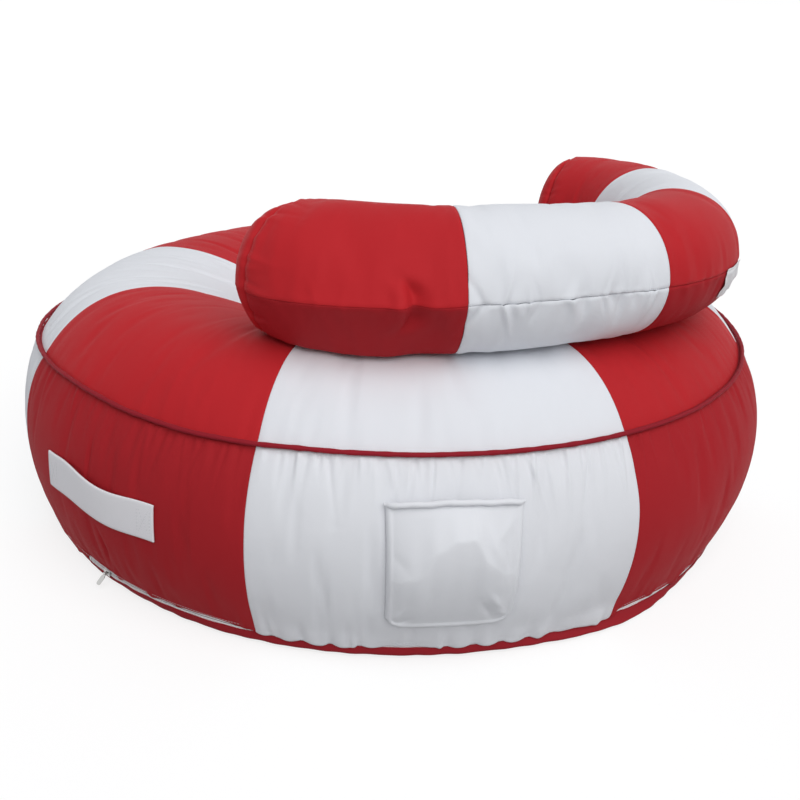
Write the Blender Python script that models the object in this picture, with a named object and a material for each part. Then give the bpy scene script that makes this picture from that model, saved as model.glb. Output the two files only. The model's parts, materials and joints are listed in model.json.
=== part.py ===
"""Pool lounger: a round air-filled seat with a horseshoe bolster, both in sewn fabric covers.

Metres, +Z up. The origin is on the floor at the middle of the round base. +Y points to the middle
of the bolster, so a person sits facing -Y, and the carry handle is on the +X side.
"""

import math

import bmesh
import bpy
import numpy as np
from mathutils import Matrix, Vector

# Fabric and sewing
CLOTH = 0.0012  # wall of the cover panels
SEWN_GAP = 0.0005  # clear width between the edges of two panels of one seam
LAID_GAP = 0.001  # under a piece that is sewn flat on a panel
CORD_RADIUS = 0.005  # piping cord
CORD_FLANGE = 0.007  # sewing flange of the piping, inwards from the seam
CORD_FLANGE_WALL = 0.0008

# Round base, outside of its cover
SECTORS = 8  # red and white by turns, the first one red and facing +X
PANEL_SPREAD = math.radians(3.8)  # most that a seam lies round from its even place
PIPING_RADIUS = 0.550
PIPING_HEIGHT = 0.277
CROWN_RADIUS = 0.407  # ring where the top is highest
CROWN_HEIGHT = 0.353
CROWN_POWER = 2.3  # how late the crown falls away to the piping
SEAT_HEIGHT = 0.213  # middle of the seat
SEAT_PATCH_RADIUS = 0.110
SIDE_BULGE = 0.037
SIDE_LEAN = 1.12  # over 1 puts the widest ring below the middle of the side
SIDE_FULLNESS = 0.7  # under 1 squares the bulge
FOOT_TUCK = 0.0272  # how far the edge of the flat underside lies inside the zip
FRONT_SAG = 0.040  # how far the rim sinks at the front, where the legs go over it
FRONT_SAG_POWER = 1.4  # how late it sinks on the way to the front

# Zip round the foot of the base
ZIP_RADIUS = 0.5572  # outer face of the coil
ZIP_HEIGHT = 0.020
COIL_HEIGHT = 0.0018  # of each half
COIL_WALL = 0.0022
COIL_GAP = 0.0012  # between the halves
TAPE_WALL = 0.0007
TAPE_SET_BACK = 0.0003  # between the coil's inner face and the tape
TAPE_REACH = 0.0042  # from the middle of the zip to the edge of each tape
ZIP_START = math.radians(-9.5)  # closed end, under the handle
ZIP_END = math.radians(295.0)
STOP_LENGTH = 0.003
SLIDER_ANGLE = math.radians(-4.5)
SLIDER_LENGTH = 0.013
SLIDER_HEIGHT = 0.0084
SLIDER_PLATE = 0.0012
SLIDER_CLEARANCE = 0.0014  # radial, on both sides of the zip
SLIDER_POST = 0.0006
SLIDER_BEVEL = 0.0008  # at the edges of its plates
BRIDGE_RADIUS = 0.0007
BRIDGE_RISE = 0.0023  # axis of the bridge bar above the outer plate
BRIDGE_LENGTH = 0.0076
PULL_REACH = 0.0172
PULL_WIDTH = 0.0072
PULL_WALL = 0.0012
PULL_EYE_WIDTH = 0.0036
PULL_EYE_WALL = 0.0008
PULL_SHOULDER = 0.0034  # from the eye to the tab's full width
PULL_CLEARANCE = 0.0003  # between the bridge bar and the eye
PULL_DROP = math.radians(42.0)  # below level

# Handle strap on the red panel that faces +X
STRAP_ANGLE = math.radians(-1.6)
STRAP_LENGTH = 0.219
STRAP_WIDTH = 0.0485
STRAP_MIDDLE_HEIGHT = 0.158
STRAP_WALL = 0.0024
STRAP_BOW = 0.008
STRAP_SEWN_END = 0.028

# Pocket on the white panel between +X and +Y
POCKET_ANGLE = math.radians(45.0)
POCKET_WIDTH = 0.158
POCKET_FOOT = 0.062
POCKET_TOP = 0.2255
POCKET_RISE = 0.007  # of its hem, from the corners to the middle
POCKET_DEPTH = 0.015
HEM_RADIUS = 0.003

# Horseshoe bolster, outside of its cover
BOLSTER_CENTRE_Y = 0.113
BOLSTER_SHIFT_X = -0.022  # it lies a little off the middle
BOLSTER_TURN = math.radians(1.5)
BOLSTER_SIDE_SLOPE = 0.037  # the +X arm lies higher than the -X arm
BOLSTER_BACK_REACH = 0.315  # from its centre to the spine, at the middle of the back
BOLSTER_SHOULDER_REACH = 0.320
BOLSTER_ARM_REACH = 0.372
BOLSTER_HALF_SPAN = math.radians(92.3)
BACK_WIDTH = 0.185
ARM_WIDTH = 0.197
BACK_THICKNESS = 0.173
ARM_THICKNESS = 0.202
BACK_SINK = 0.0074  # how far the round section sinks into the crown
ARM_SINK = 0.047
BOLSTER_REST = 0.003  # between the bolster and the crown, where the anchor strips lie
BOLSTER_SOFTNESS = 0.010  # rounding where its underside leaves the crown
END_CAP_BULGE = 0.020
END_DISC_TURN = math.radians(72.0)  # where the dome of an end gives way to a flat disc
END_SHARE = 0.190  # of the bolster's length, each red panel at its ends
WHITE_SHARE = 0.217  # each of the two white panels between them and the red middle
ANCHOR_START = 0.08  # shares of the bolster's length, from each end
ANCHOR_END = 0.42
ANCHOR_WIDTH = 0.020
ANCHOR_WALL = 0.0008
LABEL_SHARE = 0.5405  # place of the blank label along the bolster
LABEL_TURN = -0.26  # and round its section, in radians below the outer seam
LABEL_LENGTH = 0.055
LABEL_HEIGHT = 0.036
LABEL_WALL = 0.0005

# Air bladders and their valves
BLADDER_GAP = 0.012  # inside the outer face of the cover
BLADDER_WALL = 0.0008
WEB_RADIUS = 0.125  # band that ties the top of the base bladder to its bottom
WEB_GAP = 0.0048  # between the band and the bladder's top
VALVE_HEIGHT = 0.080
VALVE_SECTOR = 1  # facet of the base bladder that carries the valve, counted from +X
VALVE_HOLE_RADIUS = 0.006
VALVE_BORE_RADIUS = 0.0035
VALVE_FLANGE_RADIUS = 0.011
VALVE_FLANGE_WALL = 0.0015
VALVE_DEPTH = 0.008
VALVE_CLEARANCE = 0.0003
PLUG_HEAD_RADIUS = 0.008
PLUG_DEPTH = 0.005

# Fineness of the meshes
SECTOR_STEPS = 8
CROWN_STEPS = 7
SIDE_STEPS = 7
BLADDER_STEPS = 32
PATCH_RINGS = 3
VALVE_STEPS = 16
SECTION_STEPS = 12
SEGMENT_STEPS = 5
TANGENT_STEP = 0.004  # share of the bolster's length over which its direction is taken

# Finishes: colour, roughness, metallic
RED = ((0.55, 0.035, 0.045, 1.0), 0.55, 0.0)
WHITE = ((0.80, 0.82, 0.86, 1.0), 0.55, 0.0)
DARK_RED = ((0.32, 0.025, 0.05, 1.0), 0.6, 0.0)
CLEAR_FILM = ((0.75, 0.80, 0.83, 1.0), 0.35, 0.0)
VALVE_PLASTIC = ((0.70, 0.75, 0.80, 1.0), 0.4, 0.0)
NICKEL = ((0.66, 0.66, 0.64, 1.0), 0.3, 1.0)

COIL_INNER = ZIP_RADIUS - COIL_WALL
TAPE_OUTER = COIL_INNER - TAPE_SET_BACK
FLOOR_RADIUS = ZIP_RADIUS - FOOT_TUCK
PANEL_FOOT = ZIP_HEIGHT + COIL_GAP / 2 + COIL_HEIGHT + SEWN_GAP
BAND_TOP = ZIP_HEIGHT - COIL_GAP / 2 - COIL_HEIGHT - SEWN_GAP
SEAM_OUTWARD = np.array([0.8, 0.6])  # direction from the top seam out to the piping
SEAM = np.array([PIPING_RADIUS, PIPING_HEIGHT]) - SEAM_OUTWARD * (CORD_RADIUS + SEWN_GAP)
CIRCLE_STEPS = SECTORS * SECTOR_STEPS
ARM_SEAMS = [0.0, END_SHARE, END_SHARE + WHITE_SHARE]
BOLSTER_SEAMS = ARM_SEAMS + [1.0 - share for share in reversed(ARM_SEAMS)]


def clear_scene():
    for item in list(bpy.data.objects):
        bpy.data.objects.remove(item, do_unlink=True)


def make_material(name, finish):
    colour, roughness, metallic = finish
    material = bpy.data.materials.new(name)
    material.use_nodes = True
    shader = material.node_tree.nodes["Principled BSDF"]
    shader.inputs["Base Color"].default_value = colour
    shader.inputs["Roughness"].default_value = roughness
    shader.inputs["Metallic"].default_value = metallic
    return material


def link_object(name, data, finish, parent=None, place=None):
    item = bpy.data.objects.new(name, data)
    bpy.context.scene.collection.objects.link(item)
    item.data.materials.append(make_material(name, finish))
    item.parent = parent
    if place is not None:
        item.matrix_local = place
    return item


def add_piece(name, bm, finish, parent=None, place=None):
    """Turns a bmesh into a smooth-shaded object of its own."""
    mesh = bpy.data.meshes.new(name)
    bm.to_mesh(mesh)
    bm.free()
    mesh.shade_smooth()
    mesh.set_sharp_from_angle(angle=math.radians(35.0))
    return link_object(name, mesh, finish, parent, place)


def add_marker(name, place, parent=None):
    marker = bpy.data.objects.new(name, None)
    bpy.context.scene.collection.objects.link(marker)
    marker.parent = parent
    marker.matrix_local = place
    return marker


def face_outward(bm, inside):
    """Gives the faces one sense and turns them away from a point inside."""
    bmesh.ops.recalc_face_normals(bm, faces=bm.faces[:])
    bm.normal_update()
    away = sum((face.calc_center_median() - Vector(inside)).dot(face.normal) for face in bm.faces)
    if away < 0:
        bmesh.ops.reverse_faces(bm, faces=bm.faces[:])


def shaped_grid(steps_u, steps_v, shape, inside):
    """A square grid whose corners go where shape(u, v) says, for u and v from 0 to 1."""
    bm = bmesh.new()
    bmesh.ops.create_grid(bm, x_segments=steps_u, y_segments=steps_v, size=0.5)
    for vertex in bm.verts:
        vertex.co = shape(vertex.co.x + 0.5, vertex.co.y + 0.5)
    face_outward(bm, inside)
    return bm


def turned(profile, steps, closed=False):
    """Spins a profile of radius and height once round Z. A closed profile makes a ring."""
    bm = bmesh.new()
    corners = [bm.verts.new((radius, 0.0, height)) for radius, height in profile]
    edges = [bm.edges.new(pair) for pair in zip(corners, corners[1:])]
    if closed:
        edges.append(bm.edges.new((corners[-1], corners[0])))
    bmesh.ops.spin(
        bm,
        geom=corners + edges,
        axis=(0, 0, 1),
        cent=(0, 0, 0),
        angle=math.tau,
        steps=steps,
        use_merge=True,
    )
    bmesh.ops.remove_doubles(bm, verts=bm.verts[:], dist=1e-6)
    bmesh.ops.recalc_face_normals(bm, faces=bm.faces[:])
    return bm


def thicken(item, wall, outward=False):
    solidify = item.modifiers.new("wall", "SOLIDIFY")
    solidify.thickness = wall
    solidify.offset = 1.0 if outward else -1.0
    solidify.use_even_offset = True
    return item


def boolean(item, other, operation):
    cut = item.modifiers.new(operation.lower(), "BOOLEAN")
    cut.operation = operation
    cut.solver = "EXACT"
    cut.object = other
    other.hide_render = True
    other.display_type = "WIRE"


def around(angle, radius, height):
    return Vector((radius * math.cos(angle), radius * math.sin(angle), height))


def radial_place(angle, radius, height):
    """A frame on the side of the base: X points outwards, Y along the seam and Z up."""
    return Matrix.Translation(around(angle, radius, height)) @ Matrix.Rotation(angle, 4, "Z")


def spread(angle):
    """Angle of a corner of the base. Its panels are a little wider on the side of the pocket."""
    return angle + PANEL_SPREAD * math.sin(angle - POCKET_ANGLE)


def settled(point):
    """Sinks a point of the base: not at its foot or over its back half, most at the front rim."""
    front = max((-point.y - SEAT_PATCH_RADIUS) / (PIPING_RADIUS - SEAT_PATCH_RADIUS), 0.0)
    rise = max((point.z - PANEL_FOOT) / (CROWN_HEIGHT - PANEL_FOOT), 0.0)
    return Vector((point.x, point.y, point.z - FRONT_SAG * front**FRONT_SAG_POWER * rise))


def base_ring(profile, steps=CIRCLE_STEPS, closed=False):
    """A turned profile whose corners line up with those of the panels."""
    bm = turned(profile, steps, closed)
    for vertex in bm.verts:
        x, y, height = vertex.co
        vertex.co = settled(around(spread(math.atan2(y, x)), math.hypot(x, y), height))
    return bm


def crown_height(radius):
    """Top of the base: a cosine dip inside the crown ring, a power curve down to the seam outside."""
    if radius <= CROWN_RADIUS:
        rise = (1 - math.cos(math.pi * radius / CROWN_RADIUS)) / 2
        return SEAT_HEIGHT + (CROWN_HEIGHT - SEAT_HEIGHT) * rise
    fall = (radius - CROWN_RADIUS) / (SEAM[0] - CROWN_RADIUS)
    return CROWN_HEIGHT - (CROWN_HEIGHT - SEAM[1]) * fall**CROWN_POWER


def crown_under(point):
    """Height of the settled top of the base, straight below a point."""
    return settled(Vector((point.x, point.y, crown_height(point.to_2d().length)))).z


def side_radius(height):
    """Side of the base: a straight line between its seams, plus a bulge."""
    share = min(max((height - PANEL_FOOT) / (SEAM[1] - PANEL_FOOT), 0.0), 1.0)
    straight = ZIP_RADIUS + (SEAM[0] - ZIP_RADIUS) * share
    return straight + SIDE_BULGE * math.sin(math.pi * share**SIDE_LEAN) ** SIDE_FULLNESS


def side_heights():
    """Heights of the side's rings, closer together near the seams, where it curves most."""
    top = PIPING_HEIGHT - CORD_RADIUS - SEWN_GAP
    shares = [(1 - math.cos(math.pi * step / SIDE_STEPS)) / 2 for step in range(SIDE_STEPS + 1)]
    return [PANEL_FOOT + (top - PANEL_FOOT) * share for share in shares]


def foot_profile(steps):
    """Quarter ellipse from the zip down to the edge of the flat underside."""
    turns = [math.pi / 2 * step / steps for step in range(steps + 1)]
    width = ZIP_RADIUS - FLOOR_RADIUS
    return [
        (FLOOR_RADIUS + width * math.cos(turn), BAND_TOP * (1 - math.sin(turn))) for turn in turns
    ]


def sector_finish(index):
    return WHITE if index % 2 else RED


def sector_angle(index, share):
    """Angle across one sector, from edge to edge, clear of its neighbours."""
    gap = 2 * SEWN_GAP / PIPING_RADIUS
    return spread(math.tau / SECTORS * (index - 0.5 + share)) + gap * (0.5 - share)


def top_panel(index, parent):
    outer = PIPING_RADIUS - CORD_RADIUS - SEWN_GAP
    inner = SEAT_PATCH_RADIUS + SEWN_GAP

    def shape(u, v):
        radius = outer + (inner - outer) * v
        return settled(around(sector_angle(index, u), radius, crown_height(radius)))

    bm = shaped_grid(SECTOR_STEPS, CROWN_STEPS, shape, (0, 0, 0))
    thicken(add_piece(f"top_panel_{index + 1}", bm, sector_finish(index), parent), CLOTH)


def side_panel(index, parent):
    heights = side_heights()

    def shape(u, v):
        height = heights[round(v * SIDE_STEPS)]
        return settled(around(sector_angle(index, u), side_radius(height), height))

    bm = shaped_grid(SECTOR_STEPS, SIDE_STEPS, shape, (0, 0, PIPING_HEIGHT / 2))
    thicken(add_piece(f"side_panel_{index + 1}", bm, sector_finish(index), parent), CLOTH)


def seat_patch(parent):
    radii = [SEAT_PATCH_RADIUS * (1 - ring / PATCH_RINGS) for ring in range(PATCH_RINGS)]
    bm = base_ring([(radius, crown_height(radius)) for radius in radii], CIRCLE_STEPS // 2)
    rim = [edge for edge in bm.edges if edge.is_boundary and edge.verts[0].co.xy.length < radii[1]]
    bmesh.ops.holes_fill(bm, edges=rim)
    face_outward(bm, (0, 0, 0))
    thicken(add_piece("seat_centre_patch", bm, RED, parent), CLOTH)


def piping(parent):
    """A round cord with a flat sewing flange that runs in between the top and the side."""
    centre = np.array([PIPING_RADIUS, PIPING_HEIGHT])
    across = np.array([-SEAM_OUTWARD[1], SEAM_OUTWARD[0]]) * CORD_FLANGE_WALL / 2
    start = math.atan2(-SEAM_OUTWARD[1], -SEAM_OUTWARD[0])
    half = math.asin(CORD_FLANGE_WALL / 2 / CORD_RADIUS)
    count = 7
    profile = []
    for step in range(count + 1):
        turn = start + half + (math.tau - 2 * half) * step / count
        profile.append(centre + CORD_RADIUS * np.array([math.cos(turn), math.sin(turn)]))
    tip = SEAM - SEAM_OUTWARD * CORD_FLANGE
    profile += [tip + across, tip - across]
    add_piece("top_piping", base_ring(profile, closed=True), DARK_RED, parent)


def bottom_panel(parent):
    bm = base_ring(foot_profile(4))
    rim = [edge for edge in bm.edges if edge.is_boundary and edge.verts[0].co.z < BAND_TOP / 2]
    bmesh.ops.holes_fill(bm, edges=rim)
    face_outward(bm, (0, 0, PIPING_HEIGHT))
    thicken(add_piece("bottom_panel", bm, RED, parent), CLOTH)


def facet_angles(start, end):
    """The two angles and, between them, the corners that every ring of the base shares."""
    turns = range(-CIRCLE_STEPS, CIRCLE_STEPS)
    corners = [spread(math.tau / CIRCLE_STEPS * turn) for turn in turns]
    return [start, *(corner for corner in corners if start < corner < end), end]


def zip_strip(name, finish, parent, span, heights, radius, wall):
    """A band of the zip between two angles and two heights, with this outer radius."""
    angles = facet_angles(*span)
    steps = len(angles) - 1

    def shape(u, v):
        height = heights[0] + (heights[1] - heights[0]) * v
        return around(angles[round(u * steps)], radius, height)

    bm = shaped_grid(steps, 1, shape, (0, 0, ZIP_HEIGHT))
    thicken(add_piece(name, bm, finish, parent), wall)


def zip_chain(parent):
    stop_turn = STOP_LENGTH / ZIP_RADIUS
    clear_turn = SEWN_GAP / ZIP_RADIUS
    coil = (ZIP_START + stop_turn + clear_turn, ZIP_END - stop_turn - clear_turn)
    tape = (ZIP_START - stop_turn, ZIP_END + stop_turn)
    for name, way in (("upper", 1), ("lower", -1)):
        near = ZIP_HEIGHT + way * COIL_GAP / 2
        coil_heights = (near, near + way * COIL_HEIGHT)
        tape_heights = (near, ZIP_HEIGHT + way * TAPE_REACH)
        zip_strip(f"zip_coil_{name}", WHITE, parent, coil, coil_heights, ZIP_RADIUS, COIL_WALL)
        zip_strip(f"zip_tape_{name}", WHITE, parent, tape, tape_heights, TAPE_OUTER, TAPE_WALL)
    reach = COIL_GAP / 2 + COIL_HEIGHT
    heights = (ZIP_HEIGHT - reach, ZIP_HEIGHT + reach)
    for name, start in (("closed", ZIP_START), ("open", ZIP_END - stop_turn)):
        span = (start, start + stop_turn)
        zip_strip(f"zip_stop_{name}", NICKEL, parent, span, heights, ZIP_RADIUS, COIL_WALL)


def extruded(outline, depth):
    """A flat outline in its own X and Y, made this deep along Z."""
    bm = bmesh.new()
    face = bm.faces.new([bm.verts.new((x, y, -depth / 2)) for x, y in outline])
    moved = bmesh.ops.extrude_face_region(bm, geom=[face])["geom"]
    corners = [item for item in moved if isinstance(item, bmesh.types.BMVert)]
    bmesh.ops.translate(bm, verts=corners, vec=(0, 0, depth))
    bmesh.ops.recalc_face_normals(bm, faces=bm.faces[:])
    return bm


def cylinder(radius, length, steps):
    bm = bmesh.new()
    bmesh.ops.create_cone(
        bm, cap_ends=True, segments=steps, radius1=radius, radius2=radius, depth=length
    )
    return bm


def slider_faces():
    """Radii of the slider's outer and inner plates, each where it faces the zip."""
    flat = math.cos(math.pi / CIRCLE_STEPS)  # a facet's middle lies this much nearer the axis
    outer = ZIP_RADIUS + SLIDER_CLEARANCE
    inner = (TAPE_OUTER - TAPE_WALL) * flat - SLIDER_CLEARANCE / 2
    return outer, inner


def zip_slider(zip_axis, place):
    """Two plates joined by a post that runs between the coil halves, and a bridge for the pull.

    Returns how far the middle of the bridge bar lies from the axis of the base.
    """
    outer, inner = slider_faces()
    reach = SLIDER_HEIGHT / 2
    post = SLIDER_POST / 2
    narrow = reach - SLIDER_BEVEL
    section = [
        (outer + SLIDER_PLATE, -narrow),
        (outer + SLIDER_PLATE, narrow),
        (outer, reach),
        (outer, post),
        (inner, post),
        (inner, reach),
        (inner - SLIDER_PLATE, narrow),
        (inner - SLIDER_PLATE, -narrow),
        (inner, -reach),
        (inner, -post),
        (outer, -post),
        (outer, -reach),
    ]
    bm = extruded(section, SLIDER_LENGTH)
    bmesh.ops.rotate(bm, verts=bm.verts[:], matrix=Matrix.Rotation(math.pi / 2, 3, "X"))
    slider = add_piece("zip_slider", bm, NICKEL, zip_axis, place)
    half = BRIDGE_LENGTH / 2
    low = outer + SLIDER_PLATE / 2
    bar = outer + SLIDER_PLATE + BRIDGE_RISE
    arch = [
        (low, -half),
        (bar + BRIDGE_RADIUS, -half),
        (bar + BRIDGE_RADIUS, half),
        (low, half),
        (low, half - 2 * BRIDGE_RADIUS),
        (bar - BRIDGE_RADIUS, half - 2 * BRIDGE_RADIUS),
        (bar - BRIDGE_RADIUS, 2 * BRIDGE_RADIUS - half),
        (low, 2 * BRIDGE_RADIUS - half),
    ]
    bridge = add_piece("slider_bridge", extruded(arch, 2 * BRIDGE_RADIUS), NICKEL, zip_axis, place)
    boolean(slider, bridge, "UNION")
    return bar


def pull_tab(slider_place, bar):
    """A flat tab with an eye round the bridge bar, leaning down and out from it."""
    pivot = add_marker("pull_pivot", Matrix.Translation((bar, 0, 0)), slider_place)
    eye_hole = BRIDGE_RADIUS * math.sqrt(2) + PULL_CLEARANCE
    eye_outer = eye_hole + PULL_EYE_WALL
    inside_eye = eye_hole + PULL_EYE_WALL / 2
    shoulder = eye_outer + PULL_SHOULDER
    neck = PULL_EYE_WIDTH / 2
    half = PULL_WIDTH / 2
    outline = [
        (inside_eye, -neck),
        (shoulder, -half),
        (PULL_REACH - half / 2, -half),
        (PULL_REACH, -half / 2),
        (PULL_REACH, half / 2),
        (PULL_REACH - half / 2, half),
        (shoulder, half),
        (inside_eye, neck),
    ]
    lean = Matrix.Rotation(PULL_DROP, 4, "Y")
    tab = add_piece("zip_pull", extruded(outline, PULL_WALL), NICKEL, pivot, lean)
    along = Matrix.Rotation(math.pi / 2, 4, "X")
    eye = add_piece("pull_eye", cylinder(eye_outer, PULL_EYE_WIDTH, 16), NICKEL, pivot, along)
    hole = add_piece("pull_hole", cylinder(eye_hole, PULL_WIDTH * 2, 12), NICKEL, pivot, along)
    boolean(tab, eye, "UNION")
    boolean(tab, hole, "DIFFERENCE")


def zip_pieces(root):
    zip_chain(root)
    zip_axis = add_marker("zip_axis", Matrix.Identity(4), root)
    place = Matrix.Rotation(SLIDER_ANGLE, 4, "Z") @ Matrix.Translation((0, 0, ZIP_HEIGHT))
    bar = zip_slider(zip_axis, place)
    pull_tab(add_marker("slider_place", place, zip_axis), bar)


def handle_strap(parent):
    """A webbing strap that lies flat where it is sewn and bows out between."""
    steps = 12
    free = STRAP_LENGTH / 2 - STRAP_SEWN_END
    foot = STRAP_MIDDLE_HEIGHT - STRAP_WIDTH / 2

    def shape(u, v):
        along = (u - 0.5) * STRAP_LENGTH
        height = foot + v * STRAP_WIDTH
        base = side_radius(height) + LAID_GAP
        share = min(abs(along) / free, 1.0)
        bow = STRAP_BOW * (1 + math.cos(math.pi * share)) / 2
        return settled(around(STRAP_ANGLE + along / base, base + bow, height))

    bm = shaped_grid(steps, 3, shape, (0, 0, STRAP_MIDDLE_HEIGHT))
    thicken(add_piece("handle_strap", bm, WHITE, parent), STRAP_WALL, outward=True)


def pocket_point(u, v):
    """Back face of the pocket panel: closed at its sides and foot, standing open at its top."""
    middle = 4 * u * (1 - u)
    height = POCKET_FOOT + v * (POCKET_TOP + POCKET_RISE * middle - POCKET_FOOT)
    base = side_radius(height) + LAID_GAP
    stand = POCKET_DEPTH * middle**0.6 * (1 - (1 - v) ** 3)
    return settled(around(POCKET_ANGLE + (u - 0.5) * POCKET_WIDTH / base, base + stand, height))


def pocket(parent):
    bm = shaped_grid(8, 8, pocket_point, (0, 0, PIPING_HEIGHT / 2))
    thicken(add_piece("pocket_panel", bm, WHITE, parent), CLOTH, outward=True)
    curve = bpy.data.curves.new("pocket_hem", "CURVE")
    curve.dimensions = "3D"
    curve.bevel_depth = HEM_RADIUS
    curve.bevel_resolution = 2
    curve.use_fill_caps = True
    count = 12
    spline = curve.splines.new("POLY")
    spline.points.add(count)
    outward = around(POCKET_ANGLE, HEM_RADIUS, 0)
    lift = Vector((0, 0, HEM_RADIUS + SEWN_GAP))
    for step, point in enumerate(spline.points):
        point.co = (pocket_point(step / count, 1.0) + outward + lift).to_4d()
    link_object("pocket_hem", curve, WHITE, parent)


def bolster_spine():
    """Points along the middle of the bolster, from the +X arm's end, and how far along each lies.

    Seen from above its reach from the centre is r(a) = m + p cos 2a + q cos 4a, with a counted
    from +Y, which passes through the reaches given at the back, the shoulders and the arms.
    """
    mean = (BOLSTER_BACK_REACH + BOLSTER_ARM_REACH) / 4 + BOLSTER_SHOULDER_REACH / 2
    second = (BOLSTER_BACK_REACH - BOLSTER_ARM_REACH) / 2
    fourth = mean - BOLSTER_SHOULDER_REACH
    turn = np.linspace(-BOLSTER_HALF_SPAN, BOLSTER_HALF_SPAN, 361)
    reach = mean + second * np.cos(2 * turn) + fourth * np.cos(4 * turn)
    points = np.stack([-reach * np.sin(turn), reach * np.cos(turn)], axis=1)
    steps = np.hypot(*np.diff(points, axis=0).T)
    return points, np.concatenate([[0.0], np.cumsum(steps)])


SPINE, SPINE_LENGTHS = bolster_spine()


def spine_point(share):
    """Place of the spine before it is turned and shifted."""
    at = share * SPINE_LENGTHS[-1]
    return np.array([np.interp(at, SPINE_LENGTHS, SPINE[:, axis]) for axis in (0, 1)])


def bolster_station(share):
    """Centre, tangent, outward direction, half-width and half-height of the bolster there."""
    near = min(max(share, TANGENT_STEP), 1 - TANGENT_STEP)
    run = spine_point(near + TANGENT_STEP) - spine_point(near - TANGENT_STEP)
    spin = Matrix.Rotation(BOLSTER_TURN, 3, "Z")
    tangent = spin @ Vector((*run, 0.0)).normalized()
    outward = tangent.cross(Vector((0, 0, 1)))
    from_middle = (2 * share - 1) ** 2
    half_width = (BACK_WIDTH + (ARM_WIDTH - BACK_WIDTH) * from_middle) / 2
    half_height = (BACK_THICKNESS + (ARM_THICKNESS - BACK_THICKNESS) * from_middle) / 2
    sink = BACK_SINK + (ARM_SINK - BACK_SINK) * from_middle
    flat = spine_point(share)
    height = CROWN_HEIGHT + half_height - sink + BOLSTER_SIDE_SLOPE * flat[0]
    centre = spin @ Vector((*flat, 0.0)) + Vector((BOLSTER_SHIFT_X, BOLSTER_CENTRE_Y, height))
    return centre, tangent, outward, half_width, half_height


def above_crown(point, clearance):
    """Lifts a point of the bolster to its clearance above the crown, with a soft corner."""
    least = crown_under(point) + clearance
    spare = point.z - least
    point.z = least + (spare + math.hypot(spare, BOLSTER_SOFTNESS)) / 2
    return point


def bolster_point(share, turn, inset=0.0, end_turn=0.0, end_way=0):
    """Skin of the bolster at this share of its length and this turn round its section.

    The turn is 0 on its outer side and a quarter turn on top. At an end, end_turn goes from 0 at
    the seam of the end cap to a quarter turn at the cap's middle.
    """
    centre, tangent, outward, half_width, half_height = bolster_station(share)
    narrow = math.cos(end_turn)
    point = centre + outward * (half_width - inset) * math.cos(turn) * narrow
    point.z += (half_height - inset) * math.sin(turn) * narrow
    point += tangent * end_way * (SEWN_GAP + CLOTH + END_CAP_BULGE * math.sin(end_turn))
    return above_crown(point, BOLSTER_REST + inset)


def section_turn(upper, share):
    """Turn round the section across one half, from its outer seam to its inner seam."""
    lean = CLOTH * math.sin(math.pi / SECTION_STEPS)  # a facet's wall leans over its edge by this
    gap = (SEWN_GAP + 2 * lean) / (BACK_THICKNESS / 2)
    start = gap / 2 if upper else math.pi + gap / 2
    return start + (math.pi - gap) * share


def bolster_panel(index, upper, parent):
    gap = SEWN_GAP / SPINE_LENGTHS[-1]
    start = BOLSTER_SEAMS[index] + gap / 2
    end = BOLSTER_SEAMS[index + 1] - gap / 2

    def shape(u, v):
        return bolster_point(start + (end - start) * u, section_turn(upper, v))

    middle = bolster_station((start + end) / 2)[0]
    bm = shaped_grid(SEGMENT_STEPS, SECTION_STEPS // 2, shape, middle)
    half = "top" if upper else "under"
    thicken(add_piece(f"bolster_{half}_{index + 1}", bm, sector_finish(index), parent), CLOTH)


def fill_ends(bm):
    bmesh.ops.remove_doubles(bm, verts=bm.verts[:], dist=1e-6)
    bmesh.ops.holes_fill(bm, edges=[edge for edge in bm.edges if edge.is_boundary])


def end_cap(name, share, way, parent):
    centre, tangent, _, _, _ = bolster_station(share)

    def shape(u, v):
        return bolster_point(share, math.tau * u, 0.0, END_DISC_TURN * v, way)

    bm = shaped_grid(SECTION_STEPS, 3, shape, centre)
    bmesh.ops.remove_doubles(bm, verts=bm.verts[:], dist=1e-6)
    rim = [
        edge
        for edge in bm.edges
        if edge.is_boundary and (edge.verts[0].co - centre).length < BACK_THICKNESS / 3
    ]
    bmesh.ops.holes_fill(bm, edges=rim)
    face_outward(bm, centre - tangent * way * END_CAP_BULGE)
    thicken(add_piece(name, bm, RED, parent), CLOTH)


def anchor_strip(name, shares, parent):
    """A sewn strip between the underside of the bolster and the crown."""

    def shape(u, v):
        centre, _, outward, _, _ = bolster_station(shares[0] + (shares[1] - shares[0]) * u)
        point = centre + outward * ANCHOR_WIDTH * (v - 0.5)
        point.z = crown_under(point) + (BOLSTER_REST - ANCHOR_WALL) / 2
        return point

    bm = shaped_grid(12, 1, shape, (0, 0, 0))
    thicken(add_piece(name, bm, RED, parent), ANCHOR_WALL, outward=True)


def blank_label(parent):
    """A bare white patch sewn on the outer side of the bolster."""
    turn_half = LABEL_HEIGHT / BACK_THICKNESS
    share_half = LABEL_LENGTH / 2 / SPINE_LENGTHS[-1]

    def shape(u, v):
        share = LABEL_SHARE + share_half * (2 * u - 1)
        return bolster_point(share, LABEL_TURN + turn_half * (2 * v - 1), -LAID_GAP)

    bm = shaped_grid(4, 4, shape, bolster_station(LABEL_SHARE)[0])
    thicken(add_piece("blank_label", bm, WHITE, parent), LABEL_WALL, outward=True)


def cut_valve_hole(bladder, place, parent):
    bm = cylinder(VALVE_HOLE_RADIUS, 2 * VALVE_DEPTH, 12)
    drill = add_piece("valve_hole", bm, WHITE, parent, place)
    boolean(bladder, drill, "DIFFERENCE")


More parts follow.
